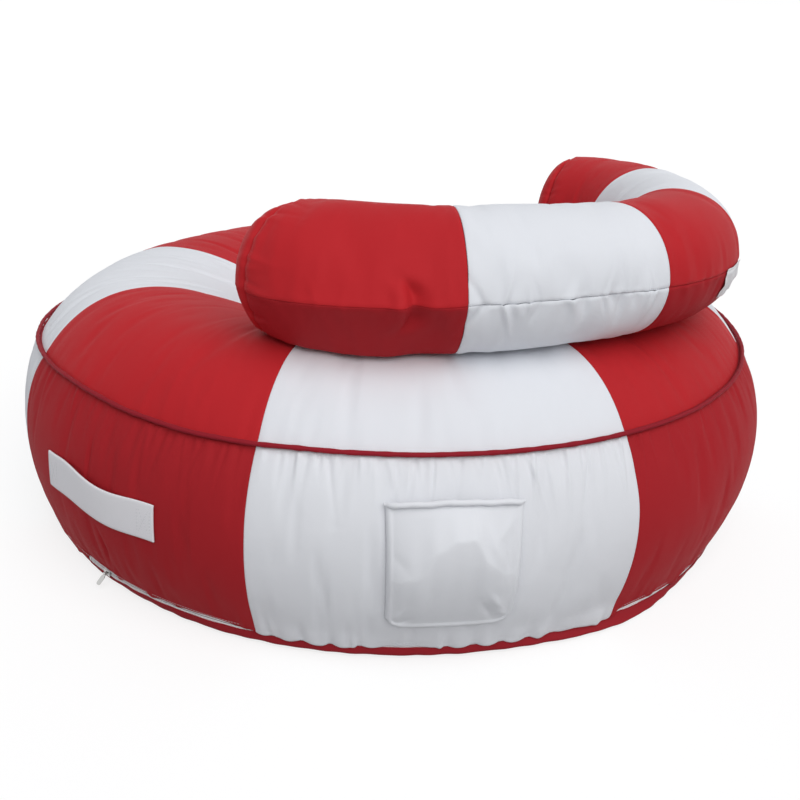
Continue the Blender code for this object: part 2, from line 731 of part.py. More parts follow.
def valve(name, place, parent):
    """A flanged neck through the bladder wall, and the plug in it. Z points out of the bladder."""
    face = VALVE_CLEARANCE + VALVE_FLANGE_WALL
    neck = VALVE_HOLE_RADIUS - VALVE_CLEARANCE
    body = [
        (VALVE_BORE_RADIUS, face),
        (VALVE_FLANGE_RADIUS, face),
        (VALVE_FLANGE_RADIUS, VALVE_CLEARANCE),
        (neck, VALVE_CLEARANCE),
        (neck, -VALVE_DEPTH),
        (VALVE_BORE_RADIUS, -VALVE_DEPTH),
    ]
    flange = turned(body, VALVE_STEPS, closed=True)
    add_piece(f"{name}_valve", flange, VALVE_PLASTIC, parent, place)
    stem = VALVE_BORE_RADIUS - VALVE_CLEARANCE
    under = face + VALVE_CLEARANCE
    plug = [
        (0.0, under + VALVE_FLANGE_WALL),
        (PLUG_HEAD_RADIUS, under + VALVE_FLANGE_WALL),
        (PLUG_HEAD_RADIUS, under),
        (stem, under),
        (stem, face - PLUG_DEPTH),
        (0.0, face - PLUG_DEPTH),
    ]
    add_piece(f"{name}_valve_plug", turned(plug, VALVE_STEPS), VALVE_PLASTIC, parent, place)


def base_bladder_profile():
    """Outside of the cover, moved inwards by the bladder's gap, from the top to the bottom."""
    crown = np.linspace(0.0, SEAM[0], 9)
    rim = [(radius, crown_height(radius)) for radius in crown]
    side = [(side_radius(height), height) for height in side_heights()[-2:0:-1]]
    cover = np.array(rim + side + foot_profile(2))
    run = np.gradient(cover, axis=0)
    run /= np.linalg.norm(run, axis=1)[:, None]
    inner = cover + BLADDER_GAP * np.stack([run[:, 1], -run[:, 0]], axis=1)
    inner[0] = (0.0, crown_height(0.0) - BLADDER_GAP)
    inner[-1, 1] = BLADDER_GAP
    return [*inner, (0.0, BLADDER_GAP)]


def settled_ring(profile):
    bm = turned(profile, BLADDER_STEPS)
    for vertex in bm.verts:
        vertex.co = settled(vertex.co)
    return bm


def base_bladder(parent):
    profile = base_bladder_profile()
    bladder = add_piece("base_bladder", settled_ring(profile), CLEAR_FILM, parent)
    thicken(bladder, BLADDER_WALL)
    middles = [
        (index, (profile[index][1] + profile[index + 1][1]) / 2)
        for index in range(CROWN_STEPS + 2, len(profile) - 2)
    ]
    index = min(middles, key=lambda item: abs(item[1] - VALVE_HEIGHT))[0]
    facet = math.cos(math.pi / BLADDER_STEPS)
    angle = math.tau * (VALVE_SECTOR + 0.5) / BLADDER_STEPS
    upper, lower = [
        settled(around(angle, radius * facet, height))
        for radius, height in profile[index : index + 2]
    ]
    middle = (upper + lower) / 2
    tilt = math.atan2(upper.xy.length - lower.xy.length, upper.z - lower.z)
    facing = Matrix.Rotation(math.pi / 2 + tilt, 4, "Y")
    place = radial_place(angle, middle.xy.length, middle.z) @ facing
    cut_valve_hole(bladder, place, parent)
    valve("base", place, parent)


def tie_web(parent):
    """An open band inside the base bladder that holds the middle of the seat down."""
    foot = BLADDER_GAP + 2 * BLADDER_WALL
    top = crown_height(WEB_RADIUS) - BLADDER_GAP - WEB_GAP
    bm = settled_ring([(WEB_RADIUS, foot), (WEB_RADIUS, top)])
    face_outward(bm, (0, 0, foot))
    thicken(add_piece("bladder_tie_web", bm, CLEAR_FILM, parent), BLADDER_WALL)


def bolster_bladder(parent):
    """A closed tube inside the bolster, with flat discs in its domed ends for the valve."""
    edge = BLADDER_GAP / SPINE_LENGTHS[-1]
    dome = [END_DISC_TURN, END_DISC_TURN / 2]
    rings = [(edge, turn, -1) for turn in dome]
    count = 20
    rings += [(edge + (1 - 2 * edge) * step / count, 0.0, 0) for step in range(count + 1)]
    rings += [(1 - edge, turn, 1) for turn in reversed(dome)]

    def shape(u, v):
        share, end_turn, way = rings[round(u * (len(rings) - 1))]
        return bolster_point(share, math.tau * v, BLADDER_GAP, end_turn, way)

    bm = shaped_grid(len(rings) - 1, SECTION_STEPS, shape, bolster_station(0.5)[0])
    fill_ends(bm)
    bmesh.ops.recalc_face_normals(bm, faces=bm.faces[:])
    bladder = thicken(add_piece("bolster_bladder", bm, CLEAR_FILM, parent), BLADDER_WALL)
    sides = [bolster_point(edge, turn, BLADDER_GAP, dome[0], -1) for turn in (0.0, math.pi)]
    facing = (-bolster_station(edge)[1]).to_track_quat("Z", "Y").to_matrix().to_4x4()
    place = Matrix.Translation((sides[0] + sides[1]) / 2) @ facing
    cut_valve_hole(bladder, place, parent)
    valve("bolster", place, parent)


def base_cover(root):
    for index in range(SECTORS):
        top_panel(index, root)
        side_panel(index, root)
    seat_patch(root)
    piping(root)
    bottom_panel(root)
    handle_strap(root)
    pocket(root)


def bolster_cover(root):
    for index in range(len(BOLSTER_SEAMS) - 1):
        bolster_panel(index, True, root)
        bolster_panel(index, False, root)
    end_cap("bolster_end_cap_right", 0.0, -1, root)
    end_cap("bolster_end_cap_left", 1.0, 1, root)
    anchor_strip("anchor_strip_right", (ANCHOR_START, ANCHOR_END), root)
    anchor_strip("anchor_strip_left", (1 - ANCHOR_END, 1 - ANCHOR_START), root)
    blank_label(root)


def main():
    clear_scene()
    root = add_marker("lounger", Matrix.Identity(4))
    base_cover(root)
    zip_pieces(root)
    base_bladder(root)
    tie_web(root)
    bolster_cover(root)
    bolster_bladder(root)
    bpy.context.view_layer.update()


main()
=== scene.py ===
import json
from math import cos, pi, radians, sin

import bmesh
import bpy
import numpy as np
from mathutils import Matrix, Vector

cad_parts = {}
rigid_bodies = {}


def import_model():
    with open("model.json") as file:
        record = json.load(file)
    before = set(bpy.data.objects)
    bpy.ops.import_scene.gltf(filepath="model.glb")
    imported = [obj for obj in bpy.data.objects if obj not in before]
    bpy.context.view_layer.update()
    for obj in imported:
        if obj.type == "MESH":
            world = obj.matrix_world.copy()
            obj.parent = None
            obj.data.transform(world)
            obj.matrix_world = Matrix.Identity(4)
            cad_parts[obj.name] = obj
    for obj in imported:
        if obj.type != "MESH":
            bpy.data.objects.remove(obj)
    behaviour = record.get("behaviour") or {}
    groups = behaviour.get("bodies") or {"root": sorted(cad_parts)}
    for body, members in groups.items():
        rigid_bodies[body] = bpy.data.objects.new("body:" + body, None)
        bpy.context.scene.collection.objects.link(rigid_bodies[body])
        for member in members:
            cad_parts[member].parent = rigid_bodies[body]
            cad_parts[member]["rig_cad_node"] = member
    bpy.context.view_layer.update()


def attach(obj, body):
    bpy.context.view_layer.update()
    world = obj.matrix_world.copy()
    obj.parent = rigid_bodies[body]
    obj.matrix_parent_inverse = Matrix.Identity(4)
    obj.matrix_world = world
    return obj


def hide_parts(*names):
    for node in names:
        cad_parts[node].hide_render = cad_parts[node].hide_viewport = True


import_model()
scene = bpy.context.scene

cameraPlace = {  # where the photograph was taken from
    "lens": 44.25,  # mm on a sensor 36 mm wide
    "position": (1.2353, 0.9325, 0.763),
    "turn": 126.36,  # degrees round Z
    "pitch": 22.8,  # below level
    "roll": 2.41,
}


def makeCamera():
    place = cameraPlace
    data = bpy.data.cameras.new("camera")
    data.lens = place["lens"]
    data.clip_end = 500
    camera = bpy.data.objects.new("camera", data)
    scene.collection.objects.link(camera)
    aim = Matrix.Translation(place["position"])
    for degrees, axis in ((place["turn"], "Z"), (90 - place["pitch"], "X"), (place["roll"], "Z")):
        aim = aim @ Matrix.Rotation(radians(degrees), 4, axis)
    camera.matrix_world = aim
    scene.camera = camera


makeCamera()
print("camera placed")


def sideBySide(*parts):
    # stretches the parts to one grid and puts them together in a last axis
    return np.stack(np.broadcast_arrays(*parts), axis=-1)


def gridFaces(rows, columns, closed=False):
    # four corners of each cell; closed joins the last column to the first
    row = np.arange(rows - 1)[:, None] * columns
    column = np.arange(columns if closed else columns - 1)
    after = (column + 1) % columns
    corners = row + column, row + after, row + columns + after, row + columns + column
    return sideBySide(*corners).reshape(-1, 4)


def repeated(faces, count, size):
    # the faces of one body of this many points, again for each of count bodies
    return (faces[None] + (np.arange(count) * size)[:, None, None]).reshape(-1, 4)


def turnsRound(count):
    return np.arange(count) / count * 2 * pi


def makeMesh(name, points, faces, uv=None):
    mesh = bpy.data.meshes.new(name)
    mesh.vertices.add(points.size // 3)
    mesh.vertices.foreach_set("co", np.asarray(points, np.float32).ravel())
    mesh.loops.add(faces.size)
    mesh.loops.foreach_set("vertex_index", faces.astype(np.int32).ravel())
    mesh.polygons.add(len(faces))
    mesh.polygons.foreach_set("loop_start", np.arange(0, faces.size, 4, dtype=np.int32))
    if uv is not None:
        corners = np.asarray(uv, np.float32).reshape(-1, 2)[faces.ravel()]
        mesh.uv_layers.new(name="cloth").data.foreach_set("uv", corners.ravel())
    mesh.update(calc_edges=True)
    mesh.validate()
    mesh.shade_smooth()
    return mesh


def unit(arrows):
    return arrows / np.maximum(np.linalg.norm(arrows, axis=-1, keepdims=True), 1e-12)


def outwardNormals(points, inside):
    # cross product of the grid's two directions, a unit arrow at each point that leads away from inside
    normals = unit(np.cross(np.gradient(points, axis=1), np.gradient(points, axis=0)))
    return normals if ((points - inside) * normals).sum() > 0 else -normals


def turnedOut(points, faces, inside):
    # turns every face round if they look towards the point inside
    a, b, c, d = (points.reshape(-1, 3)[faces[:, corner]] for corner in range(4))
    outward = (((a + b + c + d) / 4 - inside) * np.cross(c - a, d - b)).sum() >= 0
    return faces if outward else faces[:, ::-1]


def cleaned(mesh, merge=0.0, caps=False, turn=False):
    # closes poles and seams, caps open ends, and makes the faces of closed bodies look outwards
    bm = bmesh.new()
    bm.from_mesh(mesh)
    if merge:
        bmesh.ops.remove_doubles(bm, verts=bm.verts[:], dist=merge)
    if caps:
        bmesh.ops.holes_fill(bm, edges=[edge for edge in bm.edges if edge.is_boundary])
    if turn:
        bmesh.ops.recalc_face_normals(bm, faces=bm.faces[:])
    bm.to_mesh(mesh)
    bm.free()
    mesh.shade_smooth()
    return mesh


def addObject(name, mesh, material):
    item = bpy.data.objects.new(name, mesh)
    scene.collection.objects.link(item)
    mesh.materials.append(material)
    return item


def addPiece(name, mesh, look, slot, *nodes):
    # a finished piece: it rides on the lounger and stands for these CAD nodes
    item = addObject(name, mesh, materials[look])
    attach(item, "lounger")
    if nodes:
        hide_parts(*nodes)
    return item


def addSkin(name, points, uv, inside, look, slot, node, wall, outward=False, closed=False, merge=0.0):
    # a grid of points as one skin that faces away from inside, with a wall on its inner or outer side
    faces = turnedOut(points, gridFaces(*points.shape[:2], closed), inside)
    mesh = makeMesh(name, points, faces, uv)
    item = addPiece(name, cleaned(mesh, merge) if merge else mesh, look, slot, node)
    modifier = item.modifiers.new("wall", "SOLIDIFY")
    modifier.thickness = wall
    modifier.offset = 1.0 if outward else -1.0
    modifier.use_even_offset = False
    return item


def sampleMatrix(at, count, closed=False):
    # weights that read a row of values at any place between them, on a smooth cubic through them
    base = np.floor(at).astype(int)
    if not closed:
        base = np.clip(base, 0, count - 2)
    t = at - base
    cubic = [
        -0.5 * t + t**2 - 0.5 * t**3,
        1 - 2.5 * t**2 + 1.5 * t**3,
        0.5 * t + 2 * t**2 - 1.5 * t**3,
        -0.5 * t**2 + 0.5 * t**3,
    ]
    weights = np.zeros((len(at), count))
    for step, weight in enumerate(cubic):
        index = base + step - 1
        index = index % count if closed else np.clip(index, 0, count - 1)
        np.add.at(weights, (np.arange(len(at)), index), weight)
    return weights


def blurMatrix(count, width, closed=False):
    # weights of a bell curve this many steps wide
    place = np.arange(count)
    apart = np.abs(place[:, None] - place[None, :])
    if closed:
        apart = np.minimum(apart, count - apart)
    weights = np.exp(-((apart / width) ** 2) / 2)
    return weights / weights.sum(axis=1, keepdims=True)


def weighed(rows, field, columns):
    return np.einsum("ij,jkc,lk->ilc", rows, field, columns, optimize=True)


def readField(field, rowsAt, columnsAt):
    return weighed(sampleMatrix(rowsAt, len(field)), field, sampleMatrix(columnsAt, field.shape[1], True))


def undulation(points, size, seed, count=7):
    # slow uneven swell: the mean of some sine waves in random directions, about this long
    rng = np.random.default_rng(seed)
    total = 0
    for _ in range(count):
        direction = rng.normal(size=3)
        direction *= 2 * pi / (size * rng.uniform(0.7, 1.5)) / np.linalg.norm(direction)
        total = total + np.sin(points @ direction + rng.uniform(0, 2 * pi))
    return total / count


def waves(along, lengths, seed):
    # uneven wave along a line: the mean of sines of these wavelengths
    rng = np.random.default_rng(seed)
    return sum(np.sin(2 * pi * along / size + rng.uniform(0, 7)) for size in lengths) / len(lengths)


def scatterFolds(seed, start, end, spacing, width, length, height, slant=0.15):
    # folds at uneven places along a seam: place, width, length, height and lean of each
    rng = np.random.default_rng(seed)
    count = max(1, round((end - start) / spacing))
    place = start + (np.arange(count) + rng.uniform(0.15, 0.85, count)) * (end - start) / count
    width = width * rng.uniform(0.6, 1.5, count)
    length = length * rng.uniform(0.4, 1.5, count)
    height = height * rng.uniform(0.3, 1.2, count) * rng.choice([-1, 1], count, p=[0.45, 0.55])
    return np.stack([place, width, length, height, rng.normal(0, slant, count)], axis=1)


def foldRelief(along, away, folds, period=None):
    # each fold is a bell curve along the seam that fades with the distance from it
    relief = np.zeros(np.broadcast(along, away).shape)
    for place, width, length, height, lean in folds:
        offset = along - place - lean * away
        if period:
            offset = (offset + period / 2) % period - period / 2
        relief += height * np.exp(-((offset / width) ** 2) - (away / length) ** 2)
    return relief


def window(value, start, end, soft):
    # 1 between start and end, 0 outside, with smooth shoulders
    rise = np.clip((value - start) / soft + 0.5, 0, 1)
    fall = np.clip((end - value) / soft + 0.5, 0, 1)
    edge = np.minimum(rise, fall)
    return edge * edge * (3 - 2 * edge)


def bell(value, middle, wide):
    return np.exp(-(((value - middle) / wide) ** 2))


def edgedShares(width, count, insets=(0.0, 0.0011, 0.0024, 0.0042, 0.0068)):
    # shares from 0 to 1, closer together near both ends
    near = np.array(insets) / width
    return np.concatenate([near, np.linspace(near[-1], 1 - near[-1], count + 2)[1:-1], 1 - near[::-1]])


weaves = {  # threads to the metre, height of the weave and of the soft creases in metres
    "satin": (1500, 0.00006, 0.0009),
    "cord": (1200, 0.00010, 0.0006),
    "strap": (620, 0.00028, 0.0004),
    "strip": (620, 0.00028, 0.0003),
    "label": (2000, 0.00005, 0.0004),
    "tape": (900, 0.00018, 0.0003),
}
cloths = {  # colour, tone of its darker patches, roughness, sheen, weave
    "redSatin": ((0.53, 0.021, 0.027), 0.88, 0.56, 0.02, "satin"),
    "whiteSatin": ((0.82, 0.835, 0.875), 0.965, 0.56, 0.02, "satin"),
    # sideRed and sideWhite are darker copies of redSatin and whiteSatin for the sides and undersides: painted
    # shade
    "sideRed": ((0.42, 0.0185, 0.025), 0.87, 0.62, 0.0, "satin"),
    "sideWhite": ((0.81, 0.82, 0.855), 0.965, 0.6, 0.02, "satin"),
    # the piping is the same red cloth as the panels; its darker colour is painted shade
    "shadedPipingSatin": ((0.33, 0.017, 0.029), 0.85, 0.6, 0.02, "cord"),
    # the band at the foot is the same red cloth; its darker colour is painted shade
    "shadedBandSatin": ((0.33, 0.018, 0.026), 0.86, 0.6, 0.02, "satin"),
    "whiteWebbing": ((0.95, 0.94, 0.975), 0.95, 0.7, 0.03, "strap"),
    "labelSatin": ((0.86, 0.85, 0.87), 0.95, 0.5, 0.03, "label"),
    "zipTape": ((0.95, 0.92, 0.93), 0.96, 0.75, 0.03, "tape"),
    # the strips' darker red is partly their own webbing and partly painted shade under the bolster
    "redWebbing": ((0.40, 0.018, 0.024), 0.85, 0.7, 0.02, "strip"),
}
hardLooks = {  # colour, metallic, roughness, height of the grain in metres
    "nickel": ((0.62, 0.62, 0.61), 1.0, 0.26, 0.00003),
    "coilPlastic": ((0.90, 0.88, 0.89), 0.0, 0.38, 0.00002),
    "valvePlastic": ((0.62, 0.68, 0.74), 0.0, 0.3, 0.00003),
    "sewingThread": ((0.70, 0.71, 0.74), 0.0, 0.6, 0.00008),
}
filmLook = {"colour": (0.86, 0.90, 0.93), "clear": 0.85, "bends": 1.3, "roughness": (0.12, 0.3), "creases": 0.0008}


def feed(tree, node, inputs):
    # each input gets a value, or a link from the output of another node
    for label, value in inputs.items():
        if isinstance(value, bpy.types.NodeSocket):
            tree.links.new(value, node.inputs[label])
        else:
            node.inputs[label].default_value = value


def addNode(tree, kind, inputs, **settings):
    node = tree.nodes.new("ShaderNode" + kind)
    for setting, value in settings.items():
        setattr(node, setting, value)
    feed(tree, node, inputs)
    return node


def mathNode(tree, operation, *values):
    return addNode(tree, "Math", dict(enumerate(values)), operation=operation).outputs[0]


def mixNode(tree, share, first, second):
    inputs = {"Factor": share, "A": first, "B": second}
    return addNode(tree, "Mix", inputs, data_type="RGBA").outputs["Result"]


def rangeNode(tree, value, low, high, start=0.0, end=1.0):
    inputs = {"Value": value, "From Min": start, "From Max": end, "To Min": low, "To Max": high}
    return addNode(tree, "MapRange", inputs).outputs["Result"]


def bumpNode(tree, height, distance, **normal):
    return addNode(tree, "Bump", {"Distance": distance, "Height": height, **normal}).outputs["Normal"]


def newGroup(name, value, outputs):
    # a group that reads a vector and one value, and puts out these measures
    group = bpy.data.node_groups.new(name, "ShaderNodeTree")
    group.interface.new_socket("Vector", in_out="INPUT", socket_type="NodeSocketVector")
    socket = group.interface.new_socket(value[0], in_out="INPUT", socket_type="NodeSocketFloat")
    socket.default_value = value[1]
    for label in outputs:
        group.interface.new_socket(label, in_out="OUTPUT", socket_type="NodeSocketFloat")
    return group, group.nodes.new("NodeGroupInput").outputs, group.nodes.new("NodeGroupOutput")


def makeWeaveGroup():
    # plain weave: warp and weft threads pass over each other by turns
    group, start, end = newGroup("plainWeave", ("Threads", 1500.0), ["Height", "Tint"])
    parts = addNode(group, "SeparateXYZ", {0: start["Vector"]}).outputs
    places = [mathNode(group, "MULTIPLY", parts[axis], start["Threads"]) for axis in (0, 1)]
    waved = [mathNode(group, "SINE", mathNode(group, "MULTIPLY", place, pi)) for place in places]
    threads = [mathNode(group, "ABSOLUTE", wave) for wave in waved]
    cell = mathNode(group, "ADD", *[mathNode(group, "FLOOR", place) for place in places])
    over = mathNode(group, "PINGPONG", cell, 1.0)
    under = mathNode(group, "SUBTRACT", 1.0, over)
    shown = [mathNode(group, "MULTIPLY", *pair) for pair in zip(threads, (over, under))]
    feed(group, end, {"Height": mathNode(group, "ADD", *shown), "Tint": over})
    return group


def makeCreaseGroup():
    # soft creases and uneven dye: two sizes of noise
    group, start, end = newGroup("softCreases", ("Size", 9.0), ["Height", "Mottle"])
    fine = {"Vector": start["Vector"], "Scale": start["Size"], "Detail": 3.0, "Distortion": 0.6}
    broad = {"Vector": start["Vector"], "Scale": 3.1, "Detail": 5.0}
    noises = [addNode(group, "TexNoise", inputs).outputs[0] for inputs in (fine, broad)]
    feed(group, end, dict(zip(("Height", "Mottle"), noises)))
    return group


weaveGroup = makeWeaveGroup()
creaseGroup = makeCreaseGroup()


def newMaterial(name):
    material = bpy.data.materials.new(name)
    material.use_nodes = True
    tree = material.node_tree
    return material, tree, tree.nodes["Principled BSDF"]


def toned(colour, share=1.0):
    return (*[part * share for part in colour], 1.0)


def creaseNode(tree, place, size):
    return addNode(tree, "Group", {"Vector": place.outputs["Object"], "Size": size}, node_tree=creaseGroup).outputs


def makeCloth(name):
    # mottled dye with the tint of the weave over it, and the weave's relief under the soft creases
    colour, shade, roughness, sheen, weaveName = cloths[name]
    threads, weaveHeight, creaseHeight = weaves[weaveName]
    material, tree, shader = newMaterial(name)
    place = tree.nodes.new("ShaderNodeTexCoord")
    inputs = {"Vector": place.outputs["UV"], "Threads": float(threads)}
    weave = addNode(tree, "Group", inputs, node_tree=weaveGroup).outputs
    creases = creaseNode(tree, place, 17.0)
    mottle = rangeNode(tree, creases["Mottle"], 0.0, 1.0, 0.3, 0.7)
    dye = mixNode(tree, mottle, toned(colour), toned(colour, shade))
    tint = mathNode(tree, "MULTIPLY", weave["Tint"], 0.3)
    woven = bumpNode(tree, weave["Height"], weaveHeight)
    inputs = {
        "Base Color": mixNode(tree, tint, dye, toned(colour, shade * 0.97)),
        "Roughness": rangeNode(tree, creases["Mottle"], roughness - 0.05, roughness + 0.07),
        "Sheen Weight": sheen,
        "Sheen Roughness": 0.4,
        "Specular IOR Level": 0.08,
        "Normal": bumpNode(tree, creases["Height"], creaseHeight, Normal=woven),
    }
    feed(tree, shader, inputs)
    return material


def makeHard(name):
    # fine grain in the colour, the roughness and the surface
    colour, metallic, roughness, relief = hardLooks[name]
    material, tree, shader = newMaterial(name)
    grain = creaseNode(tree, tree.nodes.new("ShaderNodeTexCoord"), 900.0)["Height"]
    inputs = {
        "Base Color": mixNode(tree, grain, toned(colour), toned(colour, 0.8)),
        "Roughness": rangeNode(tree, grain, roughness - 0.06, roughness + 0.14),
        "Metallic": metallic,
        "Normal": bumpNode(tree, grain, relief),
    }
    feed(tree, shader, inputs)
    return material


def makeFilm(name):
    # clear vinyl of the bladders, a little milky
    material, tree, shader = newMaterial(name)
    creases = creaseNode(tree, tree.nodes.new("ShaderNodeTexCoord"), 24.0)
    inputs = {
        "Base Color": toned(filmLook["colour"]),
        "Roughness": rangeNode(tree, creases["Mottle"], *filmLook["roughness"]),
        "Transmission Weight": filmLook["clear"],
        "IOR": filmLook["bends"],
        "Normal": bumpNode(tree, creases["Height"], filmLook["creases"]),
    }
    feed(tree, shader, inputs)
    return material


materials = {name: makeCloth(name) for name in cloths}
materials.update({name: makeHard(name) for name in hardLooks})
materials["clearFilm"] = makeFilm("clearFilm")
print("materials made")

clothWall = 0.0012
baseForm = {
    "sectors": 8,
    "panelWidth": 0.43,  # about, at the piping
    "panelSpread": radians(3.8),  # panels are wider on the side of the pocket
    "pocketAngle": radians(45.0),
    "pipingRadius": 0.550,
    "pipingHeight": 0.277,
    "girth": 3.456,  # the way round the piping
    "cordRadius": 0.0030,
    "seamIn": 0.0044,  # the seam lies inside and under the cord
    "seamDown": 0.0033,
    "crownRadius": 0.407,
    "crownHeight": 0.353,
    "crownPower": 2.3,
    "seatHeight": 0.213,
    "patchRadius": 0.110,
    "patchGirth": 0.691,  # the way round the seat patch
    "sideBulge": 0.037,
    "sideLean": 1.12,
    "sideFullness": 0.7,
    "zipRadius": 0.5572,
    "footTuck": 0.0272,
    "panelFoot": 0.0229,
    "bandTop": 0.0171,
    "frontSag": 0.040,
    "frontSagPower": 1.4,
    "sewnGap": 0.0005,
    "seamGap": 0.00012,  # between two panels sewn side by side
    "rimRadius": 0.49,  # ease and dip begin here and are full a rim's width further out
    "rimWidth": 0.05,
    "ease": 0.011,  # the side swells less round here
    "easeAt": (radians(-37.0), radians(20.0)),
    "dip": 0.0055,  # the piping dips a little over the handle
    "dipAt": (radians(11.0), radians(13.0)),
    "dipHeight": 0.05,
}
seam = (baseForm["pipingRadius"] - baseForm["seamIn"], baseForm["pipingHeight"] - baseForm["seamDown"])
topEdgeRadius = baseForm["pipingRadius"] - baseForm["cordRadius"] - baseForm["sewnGap"]
sideTopHeight = baseForm["pipingHeight"] - baseForm["cordRadius"] - baseForm["sewnGap"]
insideBase, upward = (0, 0, 0.1), np.array([0, 0, 1.0])


def spread(angle):
    return angle + baseForm["panelSpread"] * np.sin(angle - baseForm["pocketAngle"])


def crownHeight(radius):
    # a cosine dip inside the crown ring, a power curve down to the piping outside it
    ring, crown, seat = (baseForm[key] for key in ("crownRadius", "crownHeight", "seatHeight"))
    rise = (1 - np.cos(pi * radius / ring)) / 2
    inner = seat + (crown - seat) * rise
    fall = np.maximum(radius - ring, 0) / (seam[0] - ring)
    outer = crown - (crown - seam[1]) * fall ** baseForm["crownPower"]
    return np.where(radius <= ring, inner, outer)


def sideRadius(height):
    # a straight line between the seams plus a bulge
    form = baseForm
    share = np.clip((height - form["panelFoot"]) / (seam[1] - form["panelFoot"]), 0, 1)
    straight = form["zipRadius"] + (seam[0] - form["zipRadius"]) * share
    bulge = np.sin(pi * share ** form["sideLean"]) ** form["sideFullness"]
    return straight + form["sideBulge"] * bulge


def settled(points):
    # the base sinks towards its front rim but not at its foot, dips at the handle and is eased in near it
    form = baseForm
    foot, piping, patch = form["panelFoot"], form["pipingHeight"], form["patchRadius"]
    x, y, z = points[..., 0], points[..., 1], points[..., 2]
    front = (np.maximum(-y - patch, 0) / (form["pipingRadius"] - patch)) ** form["frontSagPower"]
    rise = np.maximum(z - foot, 0) / (form["crownHeight"] - foot)
    angle, radius = np.arctan2(y, x), np.hypot(x, y)
    outer = np.clip((radius - form["rimRadius"]) / form["rimWidth"], 0, 1) ** 2
    dip = form["dip"] * outer * bell(angle, *form["dipAt"]) * bell(z, piping, form["dipHeight"])
    ease = bell(angle, *form["easeAt"]) * outer * form["ease"] * np.sin(pi * np.clip(z / piping, 0, 1))
    moved = np.array(points, float)
    moved[..., :2] *= (1 - ease / np.maximum(radius, 0.1))[..., None]
    moved[..., 2] -= form["frontSag"] * front * rise + dip
    return moved


def ringPoints(angle, radius, height):
    angle, radius, height = np.broadcast_arrays(angle, radius, height)
    return np.stack([radius * np.cos(angle), radius * np.sin(angle), height], axis=-1)


def runTable(first, second):
    # metres along a line from its first point to each of its points
    return np.concatenate([[0], np.cumsum(np.hypot(np.diff(first), np.diff(second)))])


topRadii = np.linspace(baseForm["patchRadius"] + baseForm["sewnGap"], topEdgeRadius, 900)
topRuns = runTable(topRadii, crownHeight(topRadii))
sideHeights = np.linspace(sideTopHeight, baseForm["panelFoot"], 900)
sideRuns = runTable(sideRadius(sideHeights), sideHeights)
topLength, sideLength = topRuns[-1], sideRuns[-1]
coverLength = topLength + sideLength


def coverPoints(runs, angles):
    # the cover at these metres from the seat patch, over the crown and down the side
    topRadius = np.interp(runs, topRuns, topRadii)
    sideHeight = np.interp(np.clip(runs - topLength, 0, sideLength), sideRuns, sideHeights)
    height = np.where(runs <= topLength, crownHeight(topRadius), sideHeight)
    radius = np.where(runs <= topLength, topRadius, sideRadius(height))
    return settled(ringPoints(angles[None, :], radius[:, None], height[:, None]))


coarse = {"topRows": 58, "sideRows": 40, "columns": 448}  # the grid that the cloth is blown up on
clothRun = {
    "frames": 18,
    "start": 0.0012,  # height and size of the uneven swell that it starts from
    "startSize": 0.05,
    "broad": 5.0,  # swelling wider than this many cells is left out, wrinkles stay
    "pull": 2.2,  # wrinkles are drawn out this many cells from seam to seam
    "share": 0.5,  # how much of them shows
    "most": 0.0022,  # the furthest that a wrinkle moves a point
}
clothSettings = {
    "quality": 6,
    "mass": 0.22,
    "tension_stiffness": 12.0,
    "compression_stiffness": 12.0,
    "shear_stiffness": 4.0,
    "bending_stiffness": 0.35,
    "use_pressure": True,
    "uniform_pressure_force": 4.0,
    "shrink_min": -0.035,  # the cover is cut this much larger than the bladder under it
    "vertex_group_mass": "pinned",
}


def simulateCloth(name, points, pins):
    # blows the cover up over its pinned seams and returns where its points go
    faces = turnedOut(points, gridFaces(*pins.shape, True), points.mean(axis=(0, 1)))
    helper = bpy.data.objects.new(name, makeMesh(name, points, faces))
    scene.collection.objects.link(helper)
    group = helper.vertex_groups.new(name="pinned")
    group.add(np.flatnonzero(pins.ravel() > 0.5).tolist(), 1.0, "REPLACE")
    modifier = helper.modifiers.new("cloth", "CLOTH")
    for setting, value in clothSettings.items():
        setattr(modifier.settings, setting, value)
    modifier.settings.effector_weights.gravity = 0.0
    modifier.collision_settings.use_collision = False
    modifier.point_cache.frame_start = 1
    modifier.point_cache.frame_end = clothRun["frames"]
    for step in range(1, clothRun["frames"] + 1):
        scene.frame_set(step)
    evaluated = helper.evaluated_get(bpy.context.evaluated_depsgraph_get())
    shape = evaluated.to_mesh()
    moved = np.empty(len(shape.vertices) * 3, np.float32)
    shape.vertices.foreach_get("co", moved)
    evaluated.to_mesh_clear()
    bpy.data.objects.remove(helper, do_unlink=True)
    scene.frame_set(1)
    return moved.reshape(points.shape).astype(float)


def wrinklesOf(name, points, pins, seed, drawnRows):
    # what the simulation adds to the shape, without its broad swelling
    free = 1 - pins[..., None]
    points = points + undulation(points, clothRun["startSize"], seed)[..., None] * free * clothRun["start"]
    moved = simulateCloth(name, points, pins) - points
    rows, columns = pins.shape
    moved -= weighed(blurMatrix(rows, clothRun["broad"]), moved, blurMatrix(columns, clothRun["broad"], True))
    if drawnRows:
        moved = np.einsum("ij,jkc->ikc", blurMatrix(rows, clothRun["pull"]), moved)
    else:
        moved = np.einsum("ikc,lk->ilc", moved, blurMatrix(columns, clothRun["pull"], True))
    moved *= clothRun["share"] * free
    far = np.linalg.norm(moved, axis=-1, keepdims=True)
    print(f"  {name}: wrinkles up to {far.max() * 1000:.1f} mm, mean {far.mean() * 1000:.2f} mm")
    return moved * np.minimum(1, clothRun["most"] / np.maximum(far, 1e-9))


